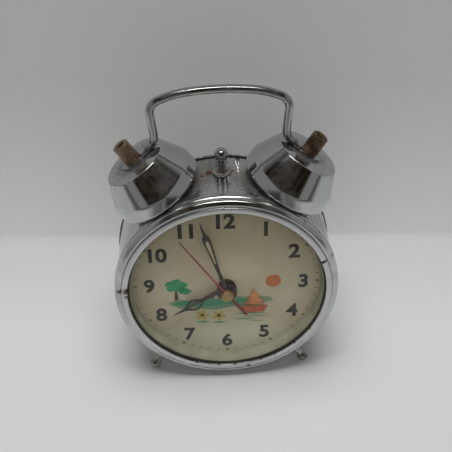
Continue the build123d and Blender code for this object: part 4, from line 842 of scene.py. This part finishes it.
@dataclass
class Case(Assembly):
    """The drum, its bezel and split ring, the glass and the cone below it."""

    ring_inner: float = 49.0
    ring_outer: float = 52.0
    ring_front: float = 8.5
    split_bearing: float = 70.0
    split_deg: float = 1.0
    glass_r: float = 50.6
    glass_edge: float = 5.6
    glass_rise: float = 7.6
    glass_t: float = 1.4
    glass_steps: int = 40
    dirt_inset: float = 1.0
    dirt_shift: float = 1.5
    dirt_proud: float = 0.04
    dirt_t: float = 0.08

    def bezel(self) -> None:
        """The pressed ring with its two ridges."""
        line = outline(
            (54.4, 0.8), (55.2, 0.8), ((55.6, 2.2), (55.1, 3.6), 8), ((54.85, 4.0), (55.15, 4.5), 5),
            ((55.2, 6.3), (54.0, 7.6), 8), ((53.4, 7.9), (52.6, 7.9), 5),
            (52.1, 7.6), (52.0, 6.6), (53.0, 6.9), (54.3, 5.4),
        )
        piece = Bench.lathe("bezel_ring", line, STANCE.matrix(), steps=180)
        self.add(piece, Shade.BEZEL_CHROME, "chrome_case", "bezel")

    def dome(
        self, name: str, reaches: Sequence[float], proud: float, thickness: float, shift: float = 0.0
    ) -> Piece:
        """The domed glass, or the dark band of dirt and painted shade that lies on it.

        Args:
            name: the new object's name.
            reaches: distances from the middle, in millimetres.
            proud: how far its front stands off the glass's front.
            thickness: its thickness along the depth.
            shift: how far it lies off the middle, upwards.

        Returns:
            The finished object.
        """
        r, rise = self.glass_r, self.glass_rise
        radius = (r * r + rise * rise) / (2 * rise)
        centre = self.glass_edge + self.glass_t + rise - radius
        front = [(x, centre + math.sqrt((radius + proud) ** 2 - x * x)) for x in reaches]
        back = [(x, z - thickness) for x, z in reversed(front)]
        middle = Matrix.Translation((0.0, 0.0, centre * MM))
        tilt = middle @ Matrix.Rotation(-shift / radius, 4, "X") @ middle.inverted()
        return Bench.lathe(name, front + back, STANCE.matrix() @ tilt, steps=160)

    def glass(self) -> None:
        """The glass, and a dark band of dirt and painted shade along its ring that is broad at the bottom and
        gone at the top.
        """
        reaches = [self.glass_r * i / self.glass_steps for i in range(self.glass_steps + 1)]
        piece = self.dome("glass_dome", reaches, 0.0, self.glass_t)
        self.add(piece, Shade.GLASS, "clear", "glass")
        # The dark band: dirt and painted shade, broad at the bottom.
        inner, outer = self.ring_inner - self.dirt_inset, self.ring_inner + self.dirt_shift
        reaches = [inner, (inner + outer) / 2, outer]
        piece = self.dome("glass_dirt_and_shade", reaches, self.dirt_proud, self.dirt_t, self.dirt_shift)
        self.add(piece, Shade.GLASS_DIRT, "clear")

    def split_ring(self) -> None:
        """The sprung ring over the glass, whose ends meet at half past two."""
        inner, outer, front = self.ring_inner, self.ring_outer, self.ring_front
        line = outline(
            (inner, 7.6), (inner, front - 0.5),
            ((inner + 0.13, front - 0.2), (inner + 0.45, front - 0.07), 5),
            ((inner + 1.3, front), (outer - 0.9, front - 0.06), 6),
            ((outer - 0.25, front - 0.2), (outer, front - 0.6), 6),
            (outer, 5.6), (outer - 0.6, 5.6), (outer - 0.6, 7.1), (self.glass_r, 7.1),
        )
        where = STANCE.matrix() @ Matrix.Rotation(math.radians(90.0 - self.split_bearing), 4, "Z")
        piece = Bench.lathe("split_ring", line, where, steps=180, gap_deg=self.split_deg)
        self.add(piece, Shade.RING, "bright_ring", "glass_ring")

    def seam(self) -> None:
        """The dark line in front of the rolled rear rim: dirt and a painted shadow line."""
        line = [(54.38, -32.15), (54.92, -32.15), (54.8, -31.3), (54.38, -31.05)]
        piece = Bench.lathe("rim_dirt_and_shadow", line, STANCE.matrix(), steps=120)
        self.add(piece, Shade.DIRT, "chrome_case")

    def build(self) -> None:
        """Model and dress the case."""
        self.bezel()
        self.seam()
        self.glass()
        self.smooth("case", Shade.CASE_CHROME, "chrome_case")
        self.split_ring()
        self.smooth("dial_ring", Shade.CONE, "cream_cone")
        self.smooth("back_cover", Shade.COVER_STEEL, "steel_grey")
        self.smooth("feet", Shade.FOOT, "chrome_case")
        self.dress(Shade.DARK_STEEL, "back_cover_screws", "foot_nuts")


@dataclass
class Bells(Assembly):
    """The two bells with their posts, nuts, handle and the stop knob."""

    bearing: float = 33.0
    depth: float = -17.6
    mouth: float = 56.0
    top: float = 75.6
    wall: float = 0.9
    hole_r: float = 2.05

    def wall_line(self) -> list[Point]:
        """The wall of a bell: a short skirt, back up inside, then a flat top and a straight cone."""
        mouth, top, under = self.mouth, self.top, self.top - self.wall
        return outline(
            (22.3, 61.4), (22.5, mouth + 1.6), ((22.62, mouth + 0.7), (22.35, mouth), 4),
            (21.6, mouth), (21.4, 61.4), ((21.25, 62.6), (20.7, 63.8), 6),
            (15.3, under), (self.hole_r, under), (self.hole_r, top), (15.3, top),
            ((15.75, top - 0.14), (16.05, top - 0.5), 5), (21.6, 63.9), ((22.1, 62.7), (22.3, 61.4), 8),
        )[:-1]

    def build(self) -> None:
        """Model and dress the bells and what stands on the case."""
        for side, node in ((-1, "left_bell"), (1, "right_bell")):
            where = STANCE.spoke(side * self.bearing, self.depth)
            piece = Bench.lathe(node + "_shell", self.wall_line(), where, steps=144)
            self.add(piece, Shade.BELL_CHROME, "chrome_bell", node)
        self.smooth("handle", Shade.WIRE, "chrome_case")
        self.smooth("bell_nuts", Shade.BRASS_NUT, "nut_brass")
        self.smooth("bell_posts", Shade.DARK_STEEL, "dark_steel")
        self.smooth("stop_ferrule", Shade.RUSTY, "rust_chrome")
        self.smooth("stop_button", Shade.WIRE, "chrome_case", "stop")


@dataclass
class DialPrint(Assembly):
    """The numerals, the minute dots and the printed picture."""

    numeral_circle: float = 38.5
    numeral_height: float = 8.7
    numeral_width: float = 0.98
    numeral_relief: float = 0.06
    numeral_offset: float = 0.012
    numeral_bevel: float = 0.024
    numeral_spacing: float = 0.97
    dot_circle: float = 45.4
    dot_r: float = 0.36
    hour_dot_r: float = 0.85
    dot_corners: int = 14
    ink_z: float = 0.05
    back_z: float = 0.018
    print_z: float = 0.02
    front_z: float = 0.045
    print_t: float = 0.02
    turn_deg: float = -0.87

    def sheet(self, z: float) -> Matrix:
        """The dial's plane at a small height over the lacquer."""
        turn = Matrix.Rotation(math.radians(self.turn_deg), 4, "Z")
        return STANCE.matrix() @ Matrix.Translation((0.0, 0.0, z * MM)) @ turn

    def around(self, degrees: float, circle: float) -> Matrix:
        """The ink's place on a circle about the dial's middle."""
        a = math.radians(degrees)
        away = Vector((math.sin(a), math.cos(a), 0.0))
        return self.sheet(self.ink_z) @ Matrix.Translation(away * circle * MM)

    def numerals(self) -> None:
        """The twelve upright numbers."""
        pieces = []
        for hour in range(1, 13):
            Bench.clear()
            bpy.ops.object.text_add(location=(0.0, 0.0, 0.0))
            text = bpy.context.object.data
            text.body = str(hour)
            text.align_x = "CENTER"
            text.size = 1.0
            text.offset = self.numeral_offset
            text.bevel_depth = self.numeral_bevel
            text.bevel_resolution = 0
            text.space_character = self.numeral_spacing
            bpy.ops.object.convert(target="MESH")
            piece = bpy.context.object
            xs = [v.co.x for v in piece.data.vertices]
            ys = [v.co.y for v in piece.data.vertices]
            scale = self.numeral_height * MM / (max(ys) - min(ys))
            middle = Vector(((max(xs) + min(xs)) / 2, (max(ys) + min(ys)) / 2, 0.0))
            size = Matrix.Diagonal((scale * self.numeral_width, scale, scale * self.numeral_relief, 1.0))
            place = self.around(30 * hour, self.numeral_circle)
            pieces.append(Bench.place(piece, place @ size @ Matrix.Translation(-middle)))
        self.add(Bench.join("dial_numerals", pieces), Shade.INK, "black_hand")

    def dots(self) -> None:
        """The sixty minute dots, larger and greenish at the hours."""
        plain, large = [], []
        for minute in range(60):
            hour = minute % 5 == 0
            radius = (self.hour_dot_r if hour else self.dot_r) * MM
            Bench.clear()
            bpy.ops.mesh.primitive_circle_add(
                vertices=self.dot_corners, radius=radius, fill_type="NGON", location=(0.0, 0.0, 0.0)
            )
            piece = bpy.context.object
            Bench.place(piece, self.around(6 * minute, self.dot_circle))
            (large if hour else plain).append(piece)
        self.add(Bench.join("minute_dots", plain), Shade.INK, "black_hand")
        self.add(Bench.join("hour_dots", large), Shade.DOT_GREEN, "dial_paint")

    def flat(self, name: str, line: Sequence[Point], shade: Shade, z: float) -> None:
        """A printed shape of the picture."""
        self.add(Bench.cutout(name, line, self.sheet(z), self.print_t), shade, "dial_paint")

    def picture(self) -> None:
        """A shore with low hills, a bush, two flowers and ripples below the little boat."""
        shore = [
            (-30.0, -12.0), (-25.0, -9.6), (-18.5, -10.4), (-12.0, -8.8), (-5.0, -9.8), (2.0, -8.2),
            (9.0, -9.2), (14.0, -8.4), (22.0, -9.8), (24.0, -12.2), (12.0, -14.6), (3.0, -15.4),
            (-6.0, -17.4), (-15.0, -16.0), (-24.0, -15.6),
        ]
        hills = [
            (-28.5, -12.6), (-22.0, -10.8), (-15.0, -11.8), (-8.0, -10.4), (0.0, -11.2), (8.0, -10.2),
            (19.5, -11.2), (6.0, -12.9), (-6.0, -14.6), (-18.0, -14.2),
        ]
        self.flat("print_shore", shore, Shade.PALE_GREEN, self.print_z)
        self.flat("print_hills", hills, Shade.GREEN, self.front_z)
        self.flat("print_sun", oval((23.4, 0.6), (3.9, 3.9), 36), Shade.SUN, self.back_z)
        bushes = (((-25.2, -0.4), (5.4, 3.9)), ((-20.8, -4.2), (3.2, 2.0)))
        for number, (middle, reach) in enumerate(bushes):
            line = oval(
                middle, reach, 40,
                lambda a: 1.0 + 0.12 * math.sin(5 * a + 0.6 + number) + 0.07 * math.sin(11 * a),
            )
            self.flat(f"print_bush_{number}", line, Shade.GREEN, self.print_z)
        trunk = [(-25.9, -3.4), (-24.9, -3.4), (-24.2, -9.8), (-26.5, -9.8)]
        self.flat("print_trunk", trunk, Shade.BROWN_HAND, self.back_z)
        for number, (x, y, size) in enumerate(((-12.6, -20.6, 4.0), (-4.2, -21.2, 3.8))):
            petals = oval((x, y), (size, size), 40, lambda a: 0.78 + 0.22 * math.cos(5 * a + number))
            leaf = lens((x - 3.6, y - 4.7), (x, y - 4.0), (x + 3.8, y - 4.9), (x, y - 5.2), 8)
            self.flat(f"print_flower_{number}", petals, Shade.YELLOW, self.print_z)
            self.flat(f"print_heart_{number}", oval((x, y), (1.1, 1.1), 12), Shade.BROWN_HAND, self.front_z)
            self.flat(f"print_leaf_{number}", leaf, Shade.GREEN, self.print_z)
        ripples = ((12.0, -20.6, 9.0), (15.0, -22.6, 7.0), (9.0, -24.4, 6.0), (16.0, -26.0, 4.6))
        for number, (x, y, half) in enumerate(ripples):
            ripple = lens((x - half, y), (x, y + 0.55), (x + half, y), (x, y - 0.15), 10)
            shade = Shade.PALE_GREEN if number % 2 else Shade.GREEN
            self.flat(f"print_ripple_{number}", ripple, shade, self.print_z)

    def build(self) -> None:
        """Model and dress the dial."""
        self.smooth("dial", Shade.DIAL, "dial_paint")
        self.numerals()
        self.dots()
        self.picture()
        self.smooth("rocking_boat", Shade.BOAT, "boat_paint", "pallet")


@dataclass
class Hands(Assembly):
    """The four hands and the bush that holds the second hand."""

    minute_bearing: float = -15.4
    minute_z: float = 7.4
    minute_drop: float = 1.2
    minute_length: float = 44.3
    inlay_sink: float = 0.01
    inlay_t: float = 0.05

    def inlay(self) -> None:
        """The luminous strip let into the minute hand."""
        half = [(19.0, 0.22), (20.0, 0.34), (31.2, 0.92), (32.6, 0.66), (33.2, 0.3)]
        line = [(w, r) for r, w in half] + [(-w, r) for r, w in reversed(half)]
        slope = math.atan2(self.minute_drop, self.minute_length)
        turn = Matrix.Rotation(-math.radians(self.minute_bearing), 4, "Z") @ Matrix.Rotation(-slope, 4, "X")
        height = Matrix.Translation((0.0, 0.0, (self.minute_z - self.inlay_sink) * MM))
        piece = Bench.cutout("minute_inlay", line, STANCE.matrix() @ height @ turn, self.inlay_t)
        self.add(piece, Shade.CREAM, "dial_paint", body="minute")

    def build(self) -> None:
        """Dress the hands."""
        self.smooth("alarm_hand", Shade.BROWN_HAND, "brown_hand", "alarm_dial")
        self.smooth("hour_hand", Shade.BLACK_HAND, "black_hand", "hour")
        self.smooth("minute_hand", Shade.BLACK_HAND, "black_hand", "minute")
        self.inlay()
        self.smooth("second_hand", Shade.RED_HAND, "red_hand", "seconds")
        self.smooth("second_hand_bush", Shade.BUSH_BRASS, "bush_brass", "seconds")


@dataclass
class Movement(Assembly):
    """The wheels, arbors, springs and plates inside, and the keys and knobs behind."""

    def build(self) -> None:
        """Dress the movement."""
        self.dress(
            Shade.PLATE_BRASS, "front_plate", "rear_plate", "time_great_wheel", "centre_wheel", "third_wheel",
            "fourth_wheel", "escape_wheel", "balance_wheel", "minute_wheel", "hour_wheel", "alarm_wheel",
            "alarm_great_wheel", "alarm_escape_wheel",
        )
        self.dress(
            Shade.DARK_STEEL, "pillars", "pillar_nuts", "time_winding_arbor", "alarm_winding_arbor",
            "setting_arbor", "clutch_spring", "third_arbor", "seconds_arbor", "escape_arbor", "pallet_lever",
            "balance_staff", "balance_screws", "regulator", "minute_pipe", "alarm_setting_arbor",
            "hammer_lever", "alarm_release_spring",
        )
        self.dress(Shade.BLUED, "time_mainspring", "alarm_mainspring", "hairspring")
        self.smooth("time_winding_key", Shade.PLATE_BRASS, "plate_brass", "time_winding")
        self.smooth("alarm_winding_key", Shade.PLATE_BRASS, "plate_brass", "alarm_winding")
        self.smooth("time_setting_knob", Shade.BLACK_KNOB, "black_plastic", "hand_setting")
        self.smooth("alarm_setting_knob", Shade.BLACK_KNOB, "black_plastic", "alarm_setting")


@dataclass
class PhotoView:
    """The camera, placed by the dial's numerals in the photograph."""

    focal_px: float = 880.0
    frame_px: float = 452.0
    sensor_mm: float = 36.0
    near_m: float = 0.01
    distance: float = 441.3
    azimuth: float = -1.347
    elevation: float = 40.53
    roll: float = 2.0
    yaw: float = 0.10
    pitch: float = -3.71

    def matrix(self) -> Matrix:
        """The camera's place in space."""
        az, el = math.radians(self.azimuth), math.radians(self.elevation)
        away = Vector((math.sin(az) * math.cos(el), math.sin(el), math.cos(az) * math.cos(el)))
        eye = away * self.distance * MM
        back = eye.normalized()
        right = Vector((0.0, 1.0, 0.0)).cross(back).normalized()
        up = back.cross(right)
        turn = (
            Matrix.Rotation(math.radians(self.roll), 3, "Z")
            @ Matrix.Rotation(math.radians(self.pitch), 3, "X")
            @ Matrix.Rotation(math.radians(self.yaw), 3, "Y")
            @ Matrix((right, up, back))
        )
        return STANCE.matrix() @ Matrix.Translation(eye) @ turn.transposed().to_4x4()

    def build(self) -> None:
        """Add the camera."""
        Bench.clear()
        bpy.ops.object.camera_add(location=(0.0, 0.0, 0.0))
        camera = bpy.context.object
        camera.name = "photo_camera"
        camera.data.sensor_width = self.sensor_mm
        camera.data.lens = self.sensor_mm * self.focal_px / self.frame_px
        camera.data.clip_start = self.near_m
        camera.matrix_world = self.matrix()
        bpy.context.scene.camera = camera


@dataclass
class Studio:
    """The pale floor with a wall close behind, the soft lamps and the even surroundings.

    Each ceiling light is a strip: its middle, its half width, its half length and its glow. Each
    lamp has its name, its place, its side in metres and its power in watts.
    """

    floor_mm: float = 1400.0
    width_m: float = 3.0
    wall_y: float = 0.0785
    wall_turn_deg: float = -3.3
    wall_height: float = 0.27
    bend: float = 0.004
    bend_middle: float = 0.293
    smooth_deg: float = 40.0
    paper_rough: float = 0.75
    floor_colour: Colour = (0.56, 0.57, 0.575)
    floor_far_colour: Colour = (0.16, 0.16, 0.155)
    wall_low_colour: Colour = (0.86, 0.86, 0.855)
    wall_colour: Colour = (0.665, 0.665, 0.66)
    side_colour: Colour = (0.29, 0.29, 0.29)
    ceiling_colour: Colour = (0.040, 0.039, 0.036)
    front_colour: Colour = (0.010, 0.006, 0.005)
    front_brown: Colour = (0.050, 0.041, 0.024)
    ceiling_lights: tuple[tuple[float, float, float, float], ...] = (
        (-0.17, 0.055, 0.42, 15.0), (0.55, 0.05, 0.32, 9.0),
    )
    lamps: tuple[tuple[str, Place, float, float], ...] = (
        ("key_lamp", (-0.008, 0.04, 0.9), 0.44, 5.05), ("fill_lamp", (0.0, -0.8, 0.6), 0.9, 2.2),
    )
    lamp_aim: Place = (0.0, 0.0, 0.06)

    def backdrop(self) -> None:
        """The floor and the wall behind it, one sheet with a soft bend."""
        bend, share = self.bend / MM, self.bend_middle
        line = outline(
            (-self.floor_mm, 0.0), (-bend, 0.0), ((-bend * share, bend * share), (0.0, bend), 10),
            (0.0, self.wall_height / MM),
        )
        piece = Bench.path("backdrop", line, closed=False)
        bpy.ops.mesh.extrude_region_move(TRANSFORM_OT_translate={"value": (0.0, self.width_m, 0.0)})
        Bench.finish(piece, self.smooth_deg)
        turn = Matrix.Rotation(math.radians(90.0 + self.wall_turn_deg), 4, "Z")
        centred = Matrix.Translation((0.0, -self.width_m / 2, 0.0))
        Bench.place(piece, Matrix.Translation((0.0, self.wall_y, 0.0)) @ turn @ centred)
        piece.data.materials.append(self.paper())

    def paper(self) -> bpy.types.Material:
        """The backdrop's material: floor and wall have their own tones, and the wall is paler low down as
        painted light from the floor.
        """
        material = bpy.data.materials.new("backdrop_paper")
        material.use_nodes = True
        tree = Tree(material.node_tree)
        shader = material.node_tree.nodes["Principled BSDF"]
        where = tree.split(tree.add("TexCoord").outputs["Object"])
        # The wall is paler low down: painted light from the floor's bounce.
        wall = tree.blend(tree.band(where["Z"], 0.0, 0.12), self.wall_low_colour, self.wall_colour)
        floor = tree.blend(tree.band(where["Y"], -0.15, -0.36), self.floor_colour, self.floor_far_colour)
        colour = tree.blend(tree.band(where["Z"], 0.0005, 0.004), floor, wall)
        tree.set(shader, Base_Color=colour, Roughness=self.paper_rough)
        return material

    def lamp(self, name: str, place: Place, size: float, power: float) -> None:
        """A square soft lamp that faces the clock and leaves no square in the chrome.

        Args:
            name: its name.
            place: where it hangs, in metres.
            size: its side, in metres.
            power: its power in watts.
        """
        Bench.clear()
        bpy.ops.object.light_add(type="AREA", location=place)
        lamp = bpy.context.object
        lamp.name = name
        lamp.data.size = size
        lamp.data.energy = power
        lamp.visible_glossy = False
        aim = Vector(self.lamp_aim) - Vector(place)
        lamp.rotation_euler = aim.to_track_quat("-Z", "Y").to_euler()

    def surroundings(self) -> None:
        """The room that the chrome mirrors: dark and brown in front, paler at the sides, with
        two long ceiling lights."""
        world = bpy.data.worlds.new("room")
        bpy.context.scene.world = world
        world.use_nodes = True
        tree = Tree(world.node_tree)
        where = tree.add("TexCoord").outputs["Generated"]
        part = tree.split(where)
        ripple = tree.times(tree.minus(tree.noise(where, 2.6, 3.0), 0.5), 0.22)
        depth = tree.plus(part["Y"], ripple)
        height = tree.plus(part["Z"], ripple)
        aside = tree.math("ABSOLUTE", part["X"])
        overhead = tree.minus(height, tree.times(part["Y"], 0.2))
        sky = tree.blend(tree.band(overhead, 0.70, 0.90), self.side_colour, self.ceiling_colour)
        across = tree.minus(aside, tree.times(height, 0.52))
        front = tree.times(tree.band(across, 0.52, 0.42), tree.band(depth, 0.1, -0.12))
        front = tree.times(front, tree.band(height, -0.05, 0.06))
        tones = tree.clouds(where, 5.0, 0.4, 0.62, 4.0, 0.6)
        sky = tree.blend(front, sky, tree.blend(tones, self.front_colour, self.front_brown))
        for y, half, reach, glow in self.ceiling_lights:
            away = tree.math("ABSOLUTE", tree.minus(part["Y"], y))
            strip = tree.times(tree.band(away, half, half * 0.6), tree.band(part["Z"], 0.1, 0.2))
            strip = tree.times(strip, tree.band(aside, reach, reach * 0.4))
            sky = tree.blend(strip, sky, (glow, glow, glow))
        tree.set(world.node_tree.nodes["Background"], Color=sky, Strength=1.0)

    def build(self) -> None:
        """Set up the studio."""
        self.backdrop()
        self.surroundings()
        for lamp in self.lamps:
            self.lamp(*lamp)
        bpy.context.scene.view_settings.view_transform = "Standard"


def main() -> None:
    """Build every sub-assembly, the camera and the studio."""
    logging.basicConfig(level=logging.INFO, format="%(name)s: %(message)s")
    for assembly in (Case(), Bells(), DialPrint(), Hands(), Movement()):
        LOG.info("building %s", type(assembly).__name__)
        assembly.build()
    PhotoView().build()
    Studio().build()


if __name__ == "__main__":
    main()
